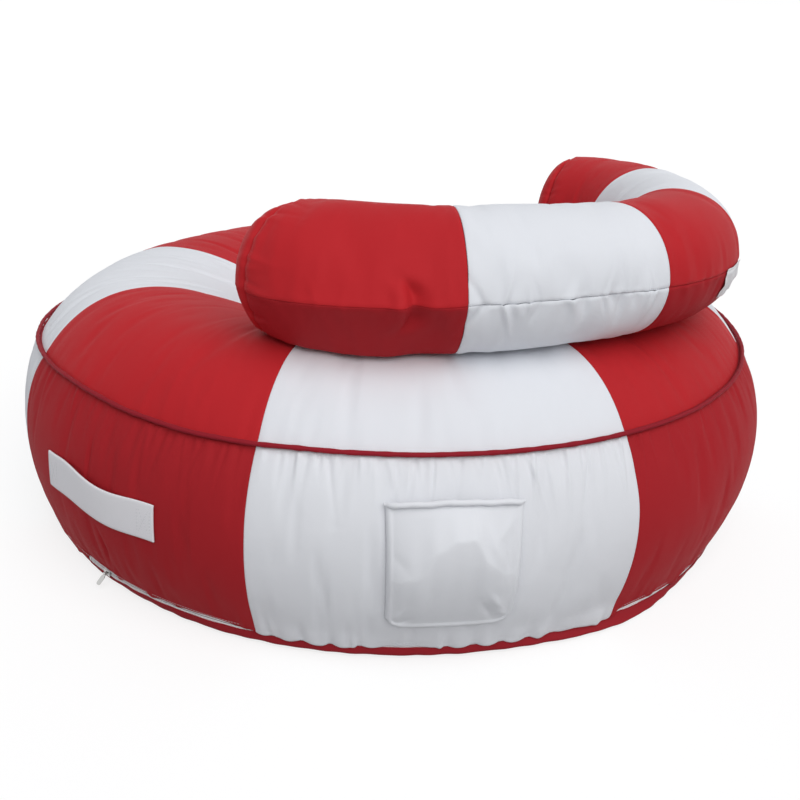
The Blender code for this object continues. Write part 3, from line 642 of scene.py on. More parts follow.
def baseWrinkles():
    side = topLength + np.linspace(1e-9, sideLength, coarse["sideRows"])
    runs = np.concatenate([np.linspace(0, topLength, coarse["topRows"]), side])
    points = coverPoints(runs, spread(turnsRound(coarse["columns"]) - pi / baseForm["sectors"]))
    pins = np.zeros(points.shape[:2])
    pins[[0, coarse["topRows"] - 1, coarse["topRows"], -1]] = 1
    return wrinklesOf("baseCover", points, pins, 3, True)


baseField = baseWrinkles()
print("base cover settled")

baseRelief = {
    "seamDepth": 0.0005,
    "seamWidth": 0.0028,
    "tuck": 0.0035,  # how far the cloth turns in at a seam
    "swell": 0.0016,  # height and size of an uneven swelling
    "swellSize": 0.22,
    "swellFade": 0.03,  # it fades this close to the panel's ends
    "patchDepth": 0.0011,  # of the groove round the seat patch
    "held": 0.92,  # how flat the strap and the pocket hold the cloth behind them
    "pipingHold": 0.004,  # the gathers begin this far below the piping
    "footReach": 0.02,  # how far up the waving foot is felt
    "footWave": 0.0005,  # how far the foot of the side panels goes up and down along the zip
    "footWaves": (0.071, 0.047, 0.12),
    "footDrop": 0.0003,  # and how far it hangs everywhere
    "footLobe": 0.0030,  # how far the cloth stands out over the zip between its stitches
    "leastLobe": 0.0007,
    "lobeWaves": (0.083, 0.061),
    "lobeRise": 0.018,  # how far up the side these lobes reach
    "scallop": 0.0036,  # how far the hem hangs over the zip there
    "leastScallop": 0.0018,
    "hemDip": 0.0002,  # the deepest that a gather over the zip goes in
    "closedLobe": 0.0012,  # the same two where there is no zip
    "closedDrop": 0.0046,
    "parking": 0.0016,  # how far it makes room for the slider
}
underPiping = [  # gathers below the piping, placed in metres round from +X
    scatterFolds(11, -0.14, 0.52, 0.015, 0.0032, 0.028, 0.0014),
    scatterFolds(12, 0.23, 0.70, 0.011, 0.0026, 0.038, 0.0025),
    scatterFolds(13, 0.50, 0.66, 0.010, 0.0026, 0.048, 0.0028),
    scatterFolds(18, 0.05, 0.19, 0.013, 0.0032, 0.045, 0.0022),
    scatterFolds(17, 0.66, 3.30, 0.017, 0.0040, 0.032, 0.0015),
]
aboveZip = scatterFolds(14, 0.0, 3.50, 0.034, 0.0055, 0.024, 0.0024)
nearSeat = scatterFolds(15, 0.0, 0.69, 0.010, 0.0025, 0.045, 0.0013)
strapCreases = {  # metres below the piping: place, width, length, height and lean
    0.082: (-0.030, 0.0030, 0.024, -0.0036, 0.05),
    0.205: (-0.012, 0.0032, 0.026, -0.0036, -0.15),
}
footPooch = {  # beside the pocket the cloth hangs over the zip in two places, and the band swells below
    "near": (radians(65.5), radians(4.0)),
    "far": (radians(86.0), radians(9.0)),
    "out": (0.005, 0.0015),
    "down": (0.0012, 0.0016),
    "band": (radians(70.0), radians(12.0)),
    "bandOut": 0.012,
}
zipZones = {  # degrees round from +X, and how softly each begins and ends, in radians
    "front": (19, 83, 0.12),
    "held": (70.2, 82, 0.02),  # the hem hangs least here
    "back": (100, 285, 0.2),
    "closed": (296, 350.2, 0.014),  # the cover is closed and has no zip
    "sliderHome": (350.4, 357.2, 0.025),
    "sliderEnd": (292.2, 294.9, 0.02),
}


def zone(angle, name):
    start, end, soft = zipZones[name]
    return window(np.mod(angle, 2 * pi), radians(start), radians(end), soft)


def overZip(angle):
    # 1 where the hem hangs over the zip, 0 by the slider and where there is no zip
    return zone(angle, "front") * (1 - 0.8 * zone(angle, "held")) + zone(angle, "back")


def parked(angle):
    # 1 where the slider stands at the ends of its run: the cloth leaves room for it
    return zone(angle, "sliderHome") + zone(angle, "sliderEnd")


def pooched(angle, way):
    near, far = footPooch[way]
    return near * bell(angle, *footPooch["near"]) + far * bell(angle, *footPooch["far"])


def sideFolds(run, angle):
    # gathers under the piping and over the zip, and two creases at the handle
    down, up, girth = run - topLength, coverLength - run, baseForm["girth"]
    along = angle * baseForm["pipingRadius"]
    gathers = sum(foldRelief(along, down, folds, girth) for folds in underPiping)
    relief = gathers * (1 - bell(down, 0, baseRelief["pipingHold"]))
    lobes = baseRelief["leastLobe"] + baseRelief["footLobe"] * np.abs(waves(along, baseRelief["lobeWaves"], 21))
    lobes = lobes * overZip(angle) + pooched(angle, "out") + baseRelief["closedLobe"] * zone(angle, "closed")
    hem = np.maximum(foldRelief(along, up, aboveZip, girth), -baseRelief["hemDip"])
    relief = relief + (lobes * bell(up, 0, baseRelief["lobeRise"]) + hem) * (1 - parked(angle))
    for place, crease in strapCreases.items():
        relief = relief + foldRelief(along, np.abs(down - place), [crease], girth)
    return relief


def topFolds(run, angle):
    # gathers round the seat patch and a few soft ones at the piping
    patch = baseForm["patchRadius"]
    relief = foldRelief(angle * patch, run, nearSeat, 2 * pi * patch)
    along = angle * baseForm["pipingRadius"]
    return relief + 0.35 * foldRelief(along, topLength - run, underPiping[0], baseForm["girth"])


def footEdge(angle):
    # how far the foot of the side panels rises: it waves along the zip and closes where there is none
    along = angle * baseForm["zipRadius"]
    wave = baseRelief["footWave"] * waves(along, baseRelief["footWaves"], 22) * (1 - parked(angle))
    lobes = np.abs(waves(along, baseRelief["lobeWaves"], 21))
    scallop = baseRelief["leastScallop"] + baseRelief["scallop"] * lobes
    scallop = scallop * overZip(angle) + pooched(angle, "down")
    closed = zone(angle, "closed")
    edge = wave - baseRelief["footDrop"] - scallop + baseRelief["parking"] * parked(angle)
    return edge * (1 - closed) - baseRelief["closedDrop"] * closed


def finishPanel(name, points, uv, inside, look, slot, node):
    # one more ring of points turns in behind the edges, to the seam
    ring = ((1, 1), (1, 1), (0, 0))
    inward = np.pad(outwardNormals(points, inside), ring, mode="edge")
    points = np.pad(points, ring, mode="edge")
    border = np.ones(points.shape[:2], bool)
    border[1:-1, 1:-1] = False
    points[border] -= inward[border] * baseRelief["tuck"]
    item = addSkin(name, points, np.pad(uv, ring, mode="edge"), inside, look, slot, node, clothWall)


strapForm = {
    "angle": radians(-1.6),
    "radius": 0.59,  # of the side where it is sewn on
    "length": 0.219,
    "width": 0.0485,
    "middle": 0.158,
    "wall": 0.0024,
    "bow": 0.0032,
    "sewnEnd": 0.028,
    "laid": 0.001,
    "sway": -0.0045,  # gentle bends of its edges
    "cup": 0.0007,  # its edges curl out
    "edge": 0.0015,  # width and depth of their rounding
    "edgeDrop": 0.0006,
    "stitchIn": 0.004,  # how far the stitches lie inside its edges
    "stitchGap": 0.003,  # and inside the end of the sewn part
}
pocketForm = {
    "angle": radians(45.0),
    "radius": 0.585,
    "width": 0.158,
    "height": 0.165,
    "foot": 0.062,
    "top": 0.2255,
    "rise": 0.007,
    "depth": 0.026,
    "laid": 0.001,
    "hem": 0.0036,
    "corner": 0.018,  # how round its lower corners are
    "narrow": 0.055,  # how much narrower its foot is
    "roll": 0.0022,  # the turned-in edge, and how far in and how wide it is
    "rollSide": (0.0035, 0.0030),
    "rollFoot": (0.0045, 0.0036),
    "foldFade": 0.008,  # folds fade this close to the edges
}


heldFlat = {  # how far the strap and the pocket hold the cloth up, down and along, and how softly
    "strapUp": 0.028,
    "strapAlong": 0.002,
    "strapSoft": 0.012,
    "pocketAcross": (0.003, 0.010),
    "pocketFoot": 0.004,
    "pocketTop": 0.012,
    "pocketSoft": 0.014,
}


def sewnFlat(height, angle):
    # 1 where the strap's ends and the edges of the pocket hold the cloth flat
    strap, pocket, held = strapForm, pocketForm, heldFlat
    along = np.abs((angle - strap["angle"]) * strap["radius"])
    half = strap["length"] / 2
    up, soft = held["strapUp"], held["strapSoft"]
    ends = window(height, strap["middle"] - up, strap["middle"] + up, soft)
    ends = ends * window(along, half - strap["sewnEnd"], half + held["strapAlong"], soft)
    across = np.abs((angle - pocket["angle"]) * pocket["radius"])
    wider, soft = held["pocketAcross"]
    behind = window(across, -1, pocket["width"] / 2 + wider, soft)
    foot, top = pocket["foot"] - held["pocketFoot"], pocket["top"] - held["pocketTop"]
    behind = behind * window(height, foot, top, held["pocketSoft"])
    return np.maximum(ends, behind)


panelGrid = {"top": (86, 96), "near": (80, 250), "far": (80, 140)}  # rows and columns between the edges


def basePanel(index, top):
    # a sector of the cover with its wrinkles, gathers and seams; uv is in metres of cloth
    form, relief = baseForm, baseRelief
    rowCount, columnCount = panelGrid["top" if top else "near" if index < 3 else "far"]
    length = topLength if top else sideLength
    rows = edgedShares(length, rowCount)
    runs = rows * topLength if top else topLength + np.maximum(rows * sideLength, 1e-9)
    rowsAt = rows * (coarse["topRows"] - 1) if top else coarse["topRows"] + rows * (coarse["sideRows"] - 1)
    shares = edgedShares(form["panelWidth"], columnCount)
    columnsAt = (index + shares) * coarse["columns"] / form["sectors"]
    angles = spread(2 * pi / form["sectors"] * (index - 0.5 + shares))
    angles = angles + form["seamGap"] / form["pipingRadius"] * (0.5 - shares)
    points = coverPoints(runs, angles)
    free = np.ones(points.shape[:2])
    if not top:  # the foot goes up and down along the zip
        points[..., 2] += footEdge(angles) * bell(runs, coverLength, relief["footReach"])[:, None]
        free = 1 - relief["held"] * sewnFlat(points[..., 2], angles)
    normals = outwardNormals(points, insideBase)
    points = points + readField(baseField, rowsAt, columnsAt) * free[..., None]
    run, angle = np.meshgrid(runs, angles, indexing="ij")
    width = np.hypot(points[..., 0], points[..., 1]) * 2 * pi / form["sectors"]
    side = np.minimum(shares, 1 - shares) * width
    ends = np.minimum(rows, 1 - rows)[:, None] * length
    lift = topFolds(run, angle) if top else sideFolds(run, angle) * free
    calm = 1 - bell(ends, 0, relief["swellFade"])
    lift = lift + relief["swell"] * undulation(points, relief["swellSize"], 5) * calm
    lift -= relief["seamDepth"] * (bell(side, 0, relief["seamWidth"]) + 0.5 * bell(ends, 0, relief["seamWidth"]))
    points = points + normals * lift[..., None]
    uv = np.stack([(shares - 0.5) * width, run], axis=-1)
    colour = "white" if index % 2 else "red"
    # the side panels take sideRed and sideWhite, darker copies of the top panels' cloth: painted shade on the
    # sides
    look = colour + "Satin" if top else "side" + colour.capitalize()
    name = f"{'top' if top else 'side'}_panel_{index + 1}"
    finishPanel(name + "_cover", points, uv, insideBase, look, colour + "_cloth", name)


for sector in range(baseForm["sectors"]):
    basePanel(sector, True)
    basePanel(sector, False)
print("base panels made")


def seatPatch():
    # a disc that follows the dip, with a soft groove and gathers at its seam
    patch = baseForm["patchRadius"]
    radii = patch * np.array([1.0, 0.99, 0.975, 0.95, *np.linspace(0.9, 0.03, 26), 0.0])
    angles = turnsRound(256)
    points = settled(ringPoints(angles, radii[:, None], crownHeight(radii)[:, None]))
    away = (patch - radii)[:, None]
    gathers = scatterFolds(16, 0, 0.69, 0.010, 0.0025, 0.03, 0.0010)
    lift = foldRelief(angles * patch, away, gathers, baseForm["patchGirth"])
    lift = lift - baseRelief["patchDepth"] * bell(away, 0, baseRelief["seamWidth"])
    points[..., 2] += lift * (radii[:, None] > 0)
    points = np.concatenate([points[:1] - [0, 0, baseRelief["tuck"]], points])
    looks = "redSatin", "red_cloth", "seat_centre_patch", clothWall
    item = addSkin("seat_centre_cover", points, points[..., :2], (0, 0, -1), *looks, closed=True, merge=1e-6)


seatPatch()

pipingForm = {
    "columns": 1200,
    "around": 14,
    "wave": 0.0005,
    "pucker": 0.00025,
    "twist": 0.011,
    "flange": 0.007,
    "flangeSlope": (0.8, 0.6),  # a unit arrow up its slope, out and up
    "flangeWall": 0.0008,
    "uvSteps": (0.0022, 0.004),  # metres of cloth from row to row, of the tube and the flange
}


def pipingCord():
    # a tube round the seam with fine puckers, and the flat flange that is sewn in between the panels
    form, piping = baseForm, pipingForm
    angles = turnsRound(piping["columns"])
    along = angles * form["pipingRadius"]
    period = 2 * pi * form["pipingRadius"]
    wander = piping["wave"] * waves(along, (period / 9, period / 23, period / 41), 31)
    rise = piping["wave"] * waves(along, (period / 7, period / 19, period / 37), 32)
    turn = turnsRound(piping["around"])[:, None]
    thick = form["cordRadius"] + piping["pucker"] * waves(along, (period / 180, period / 113), 33)
    thick = thick + 0.4 * piping["pucker"] * np.sin(2 * (turn + along / piping["twist"]))
    radius = form["pipingRadius"] + wander + thick * np.cos(turn)
    height = form["pipingHeight"] + rise + thick * np.sin(turn)
    tube = settled(ringPoints(spread(angles), radius, height))
    tube = np.concatenate([tube, tube[:1]])
    slope = np.array(piping["flangeSlope"])
    upright = np.array([-slope[1], slope[0]])
    tip = np.array(seam) - slope * piping["flange"]
    lean = upright * piping["flangeWall"] / 2
    inner = np.array([form["pipingRadius"], form["pipingHeight"]]) - slope * form["cordRadius"]
    loop = np.array([inner + lean, tip + lean, tip - lean, inner - lean, inner + lean])
    flange = settled(ringPoints(spread(angles), loop[:, :1], loop[:, 1:]))
    points = np.concatenate([tube, flange])
    tubeFaces = gridFaces(len(tube), piping["columns"], True)
    flangeFaces = gridFaces(len(flange), piping["columns"], True) + tube.size // 3
    sizes = zip((tube, flange), piping["uvSteps"])
    around = np.concatenate([np.arange(len(part)) * step for part, step in sizes])
    faces = np.concatenate([tubeFaces, flangeFaces])
    mesh = makeMesh("top_piping_cord", points, faces, sideBySide(along, around[:, None]))
    # the cord takes a darker copy of the panels' red: painted shade
    addPiece("top_piping_cord", cleaned(mesh, 1e-6, turn=True), "shadedPipingSatin", "piping_cloth", "top_piping")


pipingCord()
print("piping made")

bandForm = {
    "columns": 720,
    "rows": 18,
    "rise": 0.0003,  # of its top edge along the zip
    "wave": 0.0012,  # depth and lengths of its scallops
    "waves": (0.094, 0.066),
    "farDown": 0.0030,  # how much lower it is beside the pocket
    "closedRise": 0.0027,  # how much higher where there is no zip
    "hangRise": 0.0012,  # and under the hanging hem
    "bulge": 0.0070,
    "bulgeAt": (radians(8), radians(80), 0.4),
    "ripple": 0.0010,
    "ripples": (0.043, 0.031, 0.07),
    "rim": (0.002, 0.0008),  # its top edge turns in and down
    "discRows": 12,
    "uvRuns": (0.032, 0.53),  # metres of cloth down the band and on to the middle
}


def bandEdge(angle):
    # top of the red band under the zip: it dips in scallops and meets the side where there is no zip
    form, turned = bandForm, spread(angle)  # turned is the side panels' own angle
    dip = np.abs(waves(angle * baseForm["zipRadius"], form["waves"], 23)) * form["wave"]
    closed = zone(turned, "closed")
    edge = form["rise"] - dip - baseRelief["parking"] * parked(turned)
    middle, wide = footPooch["far"]
    low = form["farDown"] * bell(angle, middle - 0.05, wide * 1.3)
    edge = edge * (1 - closed) + form["closedRise"] * closed
    return baseForm["bandTop"] + edge + form["hangRise"] * overZip(angle) - low


def bottomPanel():
    # quarter ellipse from the zip to the floor, then a flat disc; it sags out a little under the pocket
    form, rows = baseForm, bandForm["rows"]
    angles = turnsRound(bandForm["columns"])
    turn = np.linspace(0, pi / 2, rows)[:, None]
    top = bandEdge(angles)[None, :]
    out = bandForm["bulge"] * window(angles, *bandForm["bulgeAt"])
    out = out + footPooch["bandOut"] * bell(angles, *footPooch["band"])
    low = 2.6 * np.sin(turn) ** 2 * np.cos(turn)  # about 1 near the floor, where it stands out most
    height = top * (1 - np.sin(turn))
    along = angles * form["zipRadius"]
    ripple = waves(along + 0.6 * height, bandForm["ripples"], 24) * bandForm["ripple"]
    radius = form["zipRadius"] - form["footTuck"] * (1 - np.cos(turn)) + out * low + ripple * np.sin(2 * turn)
    radii = np.linspace(form["zipRadius"] - form["footTuck"], 0, bandForm["discRows"])[1:, None]
    inward, down = bandForm["rim"]
    rings = ((radius[:1] - inward, top - down), (radius, height), (radii, 0.0))  # rim, band and disc
    points = np.concatenate([ringPoints(spread(angles), *ring) for ring in rings])
    foot, disc = bandForm["uvRuns"]
    floorRun = foot + np.linspace(0, disc, bandForm["discRows"])[1:]
    run = np.concatenate([[-inward], np.linspace(0, foot, rows), floorRun])
    # the band takes a darker copy of the red cloth: painted shade at the foot
    looks = "shadedBandSatin", "red_cloth", "bottom_panel", clothWall
    uv = sideBySide(along, run[:, None])
    item = addSkin("bottom_cover", points, uv, (0, 0, 0.2), *looks, closed=True, merge=1e-6)


bottomPanel()

zipForm = {
    "radius": 0.5572,
    "height": 0.020,
    "start": radians(-9.5),
    "end": radians(295.0),
    "gap": 0.0012,
    "coilHeight": 0.0018,
    "coilWall": 0.0022,
    "coilLean": 0.0005,
    "wire": 0.00052,
    "bends": 6,  # points round each loop of the coil, and round its wire
    "sides": 4,
    "pitch": 0.0018,
    "tapeRadius": 0.5562,
    "tapeWall": 0.0007,
    "tapeRipple": 0.0002,
    "tapeReach": {1: 0.0075, -1: 0.0050},  # of the upper and the lower tape
    "over": 0.018,  # how far the tapes run on past both ends, in radians
    "stop": 0.0032,
}


def zipTape(way, name):
    # a woven strip behind the coil, its far edge hidden behind the panel
    form = zipForm
    angles = np.linspace(form["start"] - form["over"], form["end"] + form["over"], 900)
    near = form["gap"] / 2
    across = near + (form["tapeReach"][way] - near) * np.linspace(0, 1, 9)[:, None]
    height = form["height"] + way * across
    along = angles * form["tapeRadius"]
    radius = form["tapeRadius"] + form["tapeRipple"] * waves(along, (0.03, 0.019), 41)
    points = ringPoints(angles, radius, height)
    looks = "zipTape", "zip_tape", name, form["tapeWall"]
    addSkin(name + "_weave", points, sideBySide(along, height), (0, 0, form["height"]), *looks)


def zipCoil(way, name):
    # one flattened loop of wire for each tooth, leaning along the zip
    form, bends, sides, wire = zipForm, zipForm["bends"], zipForm["sides"], zipForm["wire"]
    start = form["start"] + form["stop"] / form["radius"]
    end = form["end"] - form["stop"] / form["radius"]
    pitch = form["pitch"] / form["radius"]
    teeth = start + (np.arange(int((end - start) / pitch)) + (0.25 if way > 0 else 0.75)) * pitch
    loop, ring = turnsRound(bends)[:, None], turnsRound(sides)
    radial = np.cos(loop) * (form["coilWall"] / 2 - wire + wire * np.cos(ring))
    rise = np.sin(loop) * (form["coilHeight"] / 2 - wire + wire * np.cos(ring))
    lean = wire * np.sin(ring) + form["coilLean"] * np.sin(loop)
    middleHeight = form["height"] + way * (form["gap"] / 2 + form["coilHeight"] / 2)
    angle = teeth[:, None, None] + lean / form["radius"]
    points = ringPoints(angle, form["radius"] - form["coilWall"] / 2 + radial, middleHeight + rise)
    one = gridFaces(bends + 1, sides, True)[:, [0, 3, 2, 1]] % (bends * sides)
    mesh = makeMesh(name + "_teeth", points, repeated(one, len(teeth), bends * sides))
    addPiece(name + "_teeth", cleaned(mesh, turn=True), "coilPlastic", "zip_coil", name)


for way, half in ((1, "upper"), (-1, "lower")):
    zipTape(way, f"zip_tape_{half}")
    zipCoil(way, f"zip_coil_{half}")
print("zip made")

threadForm = {
    "pitch": 0.0042,
    "length": 0.0030,
    "thick": 0.00028,
    "sides": 5,
    "places": (-0.5, -0.36, 0.0, 0.36, 0.5),  # shares of the length where its rings lie
    "sizes": (0.05, 0.8, 1.0, 0.8, 0.05),  # shares of the thickness there
    "dips": (-0.0003, -0.00005, 0.0001, -0.00005, -0.0003),  # its ends go down into the cloth
    "aboveFoot": 0.0062,
}


def alongPath(places, at, path):
    return np.stack([np.interp(places, at, column) for column in path.T], axis=-1)


def addStitches(name, paths, slot):
    # a short spindle of thread for each stitch, lying on the cloth along its path
    form, bodies = threadForm, []
    ring = turnsRound(form["sides"])
    place = np.array(form["places"])[:, None, None] * form["length"]
    size = np.array(form["sizes"])[:, None] * form["thick"]
    dip = np.array(form["dips"])[:, None]
    rise, wide = (dip + size * np.sin(ring))[..., None], (size * np.cos(ring))[..., None]
    for path in paths:
        at = np.concatenate([[0], np.cumsum(np.linalg.norm(np.diff(path, axis=0), axis=1))])
        count = max(2, int(at[-1] / form["pitch"]))
        middle = (np.arange(count) + 0.5) * at[-1] / count
        centre = alongPath(middle, at, path)
        normal = unit(centre * [1, 1, 0])
        along = unit(alongPath(middle + 0.001, at, path) - centre)
        centre, normal, along = (part[:, None, None] for part in (centre, normal, along))
        bodies.append(centre + along * place + normal * rise + np.cross(normal, along) * wide)
    points = np.concatenate(bodies)
    rings = len(form["places"])
    faces = repeated(gridFaces(rings, form["sides"], True), len(points), rings * form["sides"])
    addPiece(name, cleaned(makeMesh(name, points, faces), caps=True, turn=True), "sewingThread", slot)


def strapPoints(along, height, stand=0.0):
    # on the side of the base, bowed out between its sewn ends, with edges that sway a little
    form = strapForm
    share = 2 * along / form["length"]
    height = height + form["sway"] * np.sin(pi * share + 0.4) * (1 - share**2)
    base = sideRadius(height) + form["laid"] + stand
    bowed = np.minimum(np.abs(along) / (form["length"] / 2 - form["sewnEnd"]), 1)
    lean = 1 + 0.9 * (height - form["middle"]) / form["width"]  # its lower edge stands out less
    bow = form["bow"] * lean * (1 + np.cos(pi * bowed)) / 2
    return settled(ringPoints(form["angle"] + along / base, base + bow, height))


def handleStrap():
    form = strapForm
    along = np.linspace(-0.5, 0.5, 150) * form["length"]
    across = np.linspace(-0.5, 0.5, 40)[:, None] * form["width"]
    edge = np.minimum(form["width"] / 2 - np.abs(across), form["edge"]) / form["edge"]
    cup = form["cup"] * (2 * across / form["width"]) ** 2 - form["edgeDrop"] * (1 - edge)
    points = strapPoints(along, form["middle"] + across, cup)
    looks = "whiteWebbing", "white_webbing", "handle_strap", form["wall"]
    uv = sideBySide(along, across)
    item = addSkin("handle_strap_webbing", points, uv, (0, 0, 0.15), *looks, outward=True)
    paths = []
    top, half, step = form["width"] / 2 - form["stitchIn"], form["length"] / 2, np.linspace(0, 1, 20)
    for end in (-1, 1):  # a box with a cross at each end
        outer, inner = end * (half - form["stitchIn"]), end * (half - form["sewnEnd"] + form["stitchGap"])
        corners = [(outer, -top), (outer, top), (inner, top), (inner, -top)]
        lines = list(zip(corners, corners[1:] + corners[:1])) + [corners[::2], corners[1::2]]
        for (a, low), (b, high) in lines:
            height = form["middle"] + low + (high - low) * step
            paths.append(strapPoints(a + (b - a) * step, height, form["wall"] + 0.0001))
    addStitches("handle_strap_stitches", paths, "white_webbing")


handleStrap()
print("strap made")

pocketFolds = [  # place across and up, lean, width, length and height of each soft fold
    (0.78, 0.72, -0.45, 0.0070, 0.026, 0.0034),
    (0.88, 0.60, -0.30, 0.0070, 0.026, -0.0026),
    (0.86, 0.84, 0.70, 0.0060, 0.018, 0.0016),
    (0.84, 0.26, -0.60, 0.0055, 0.018, 0.0030),
    (0.78, 0.18, -0.55, 0.0055, 0.018, -0.0026),
    (0.92, 0.13, -0.90, 0.0045, 0.014, 0.0020),
    (0.10, 0.62, -0.75, 0.0080, 0.016, -0.0012),
    (0.08, 0.14, 0.60, 0.0040, 0.014, 0.0022),
    (0.15, 0.08, 1.00, 0.0040, 0.012, -0.0016),
]
pocketKnee = {"side": 0.45, "middle": 0.81, "wide": 0.27, "mouth": 0.42}  # the cloth hangs below it


def pocketStand(u, v):
    # out from its foot to a knee that arches up in the middle, then back in towards the mouth
    form = pocketKnee
    knee = form["side"] + (form["middle"] - form["side"]) * bell(u, 0.52, form["wide"])
    knee = knee + 0.02 * np.sin(23 * u) + 0.012 * np.sin(41 * u + 1)
    below = 1 - np.clip(1 - v / knee, 0, 1) ** 1.3
    above = np.clip((v - knee) / (1 - knee), 0, 1) ** 1.1
    return pocketForm["depth"] * (4 * u * (1 - u)) ** 0.5 * (below - (1 - form["mouth"]) * above)


def pocketPoints(u, v, lift=0.0):
    # closed at its sides and foot, standing open at its top; u goes across and v up
    form = pocketForm
    height = form["foot"] + v * (form["top"] + form["rise"] * 4 * u * (1 - u) - form["foot"])
    base = sideRadius(height) + form["laid"]
    turn = (u - 0.5) * (1 - form["narrow"] * (1 - v)) * form["width"] / base
    return settled(ringPoints(form["angle"] + turn, base + pocketStand(np.clip(u, 0, 1), v) + lift, height))


def pocketPanel():
    # soft folds over the arched cloth, a rolled edge, and lower corners that are drawn in to a round
    form, tall = pocketForm, pocketForm["height"]
    insets = (0, 0.001, 0.0024, 0.0045)
    u, v = edgedShares(form["width"], 90, insets), edgedShares(tall, 96, insets)[:, None]
    x, y = (u - 0.5) * form["width"], v * tall
    lift = 0.0
    for across, up, lean, wide, long, high in pocketFolds:
        dx, dy = x - (across - 0.5) * form["width"], y - up * tall
        along = dx * sin(lean) + dy * cos(lean)
        off = dx * cos(lean) - dy * sin(lean)
        lift = lift + high * np.exp(-(np.abs(off / wide) ** 1.5) - (along / long) ** 2)
    side = np.minimum(u, 1 - u) * form["width"]
    lift = lift * (1 - bell(side, 0, form["foldFade"])) * (1 - bell(y, 0, form["foldFade"]))
    lift = lift + form["roll"] * np.minimum(bell(side, *form["rollSide"]) + bell(y, *form["rollFoot"]), 1.1)
    corner = form["corner"]
    cut = 0.45 * np.maximum(corner - side, 0) * np.maximum(corner - y, 0) / corner
    least = -0.8 * pocketStand(u, v) - 0.0004
    sideways = np.where(u < 0.5, 1, -1) * cut
    points = pocketPoints(u + sideways / form["width"], v + cut / tall, np.maximum(lift, least))
    # the pocket takes sideWhite, a darker copy of whiteSatin: painted shade
    looks = "sideWhite", "white_cloth", "pocket_panel", clothWall
    return addSkin("pocket_cloth", points, sideBySide(x, y), (0, 0, 0.14), *looks, outward=True)


def pocketHem():
    # a rolled tube along the top edge, thinner at its ends
    form, hem = pocketForm, pocketForm["hem"]
    steps = np.linspace(-0.02, 1.02, 120)
    inside, along = np.clip(steps, 0, 1), steps * form["width"]
    outward = np.array([cos(form["angle"]), sin(form["angle"]), 0.0])
    tangent = np.array([-outward[1], outward[0], 0.0])
    line = pocketPoints(inside, np.ones(len(steps)))
    line = line + tangent * ((steps - inside) * form["width"])[:, None] + outward * hem
    line = line + upward * (hem - 0.0012 + 0.0008 * waves(along, (0.062, 0.035), 51))[:, None]
    ends = np.sqrt(np.clip(1 - ((steps - 0.5) / 0.525) ** 16, 0, 1))
    thick = hem * ends * (1 + 0.07 * waves(along, (0.021, 0.013), 52))
    turn = turnsRound(16)
    ring = outward * np.cos(turn)[:, None] + upward * np.sin(turn)[:, None]
    points = line[:, None] + ring * thick[:, None, None]
    faces = gridFaces(*points.shape[:2], True)
    mesh = makeMesh("pocket_rolled_hem", points, faces, sideBySide(along[:, None], turn * hem))
    # the hem takes sideWhite as well, a darker copy of whiteSatin: painted shade
    return addPiece("pocket_rolled_hem", cleaned(mesh, 1e-5, turn=True), "sideWhite", "white_cloth", "pocket_hem")


pocketItem = pocketPanel()
hemItem = pocketHem()
print("pocket made")


def footStitches():
    # a line of stitches just above the zip
    angles = np.linspace(radians(-12), radians(348), 1500)
    height = baseForm["panelFoot"] + threadForm["aboveFoot"] + footEdge(angles) * 0.9
    path = ringPoints(spread(angles), sideRadius(height) + 0.0006, height)
    addStitches("foot_stitches", [path], "white_cloth")


footStitches()

bolsterForm = {
    "centreY": 0.113,
    "shiftX": -0.022,
    "turn": radians(1.5),
    "sideSlope": 0.037,
    "backReach": 0.315,
    "shoulderReach": 0.320,
    "armReach": 0.372,
    "halfSpan": radians(92.3),
    "backWidth": 0.185,
    "armWidth": 0.197,
    "backThickness": 0.173,
    "armThickness": 0.202,
    "tubeRadius": 0.095,  # about, for lengths round the tube
    "backSink": 0.0074,
    "armSink": 0.047,
    "rest": 0.003,
    "softness": 0.010,
    "capBulge": 0.049,
    "farBulge": 0.040,
    "endShare": 0.005,  # the end seams lie this far in, and the ends swell out past them
    "endTaper": 0.085,
    "endLength": 0.060,
    "seams": (0.005, 0.19, 0.407, 0.593, 0.81, 0.995),
    "seamGap": 0.0004,
    "capTuck": 0.035,  # share of the way to the middle that the caps' edges turn in
}


def bolsterSpine():
    # reach from the centre m + p cos 2a + q cos 4a, with a counted from +Y
    form = bolsterForm
    mean = (form["backReach"] + form["armReach"]) / 4 + form["shoulderReach"] / 2
    turn = np.linspace(-form["halfSpan"], form["halfSpan"], 361)
    reach = mean + (form["backReach"] - form["armReach"]) / 2 * np.cos(2 * turn)
    reach = reach + (mean - form["shoulderReach"]) * np.cos(4 * turn)
    points = np.stack([-reach * np.sin(turn), reach * np.cos(turn)], axis=1)
    return points, runTable(points[:, 0], points[:, 1])


spine, spineRuns = bolsterSpine()
spineLength = spineRuns[-1]


def spinePoint(share):
    return alongPath(share * spineLength, spineRuns, spine)


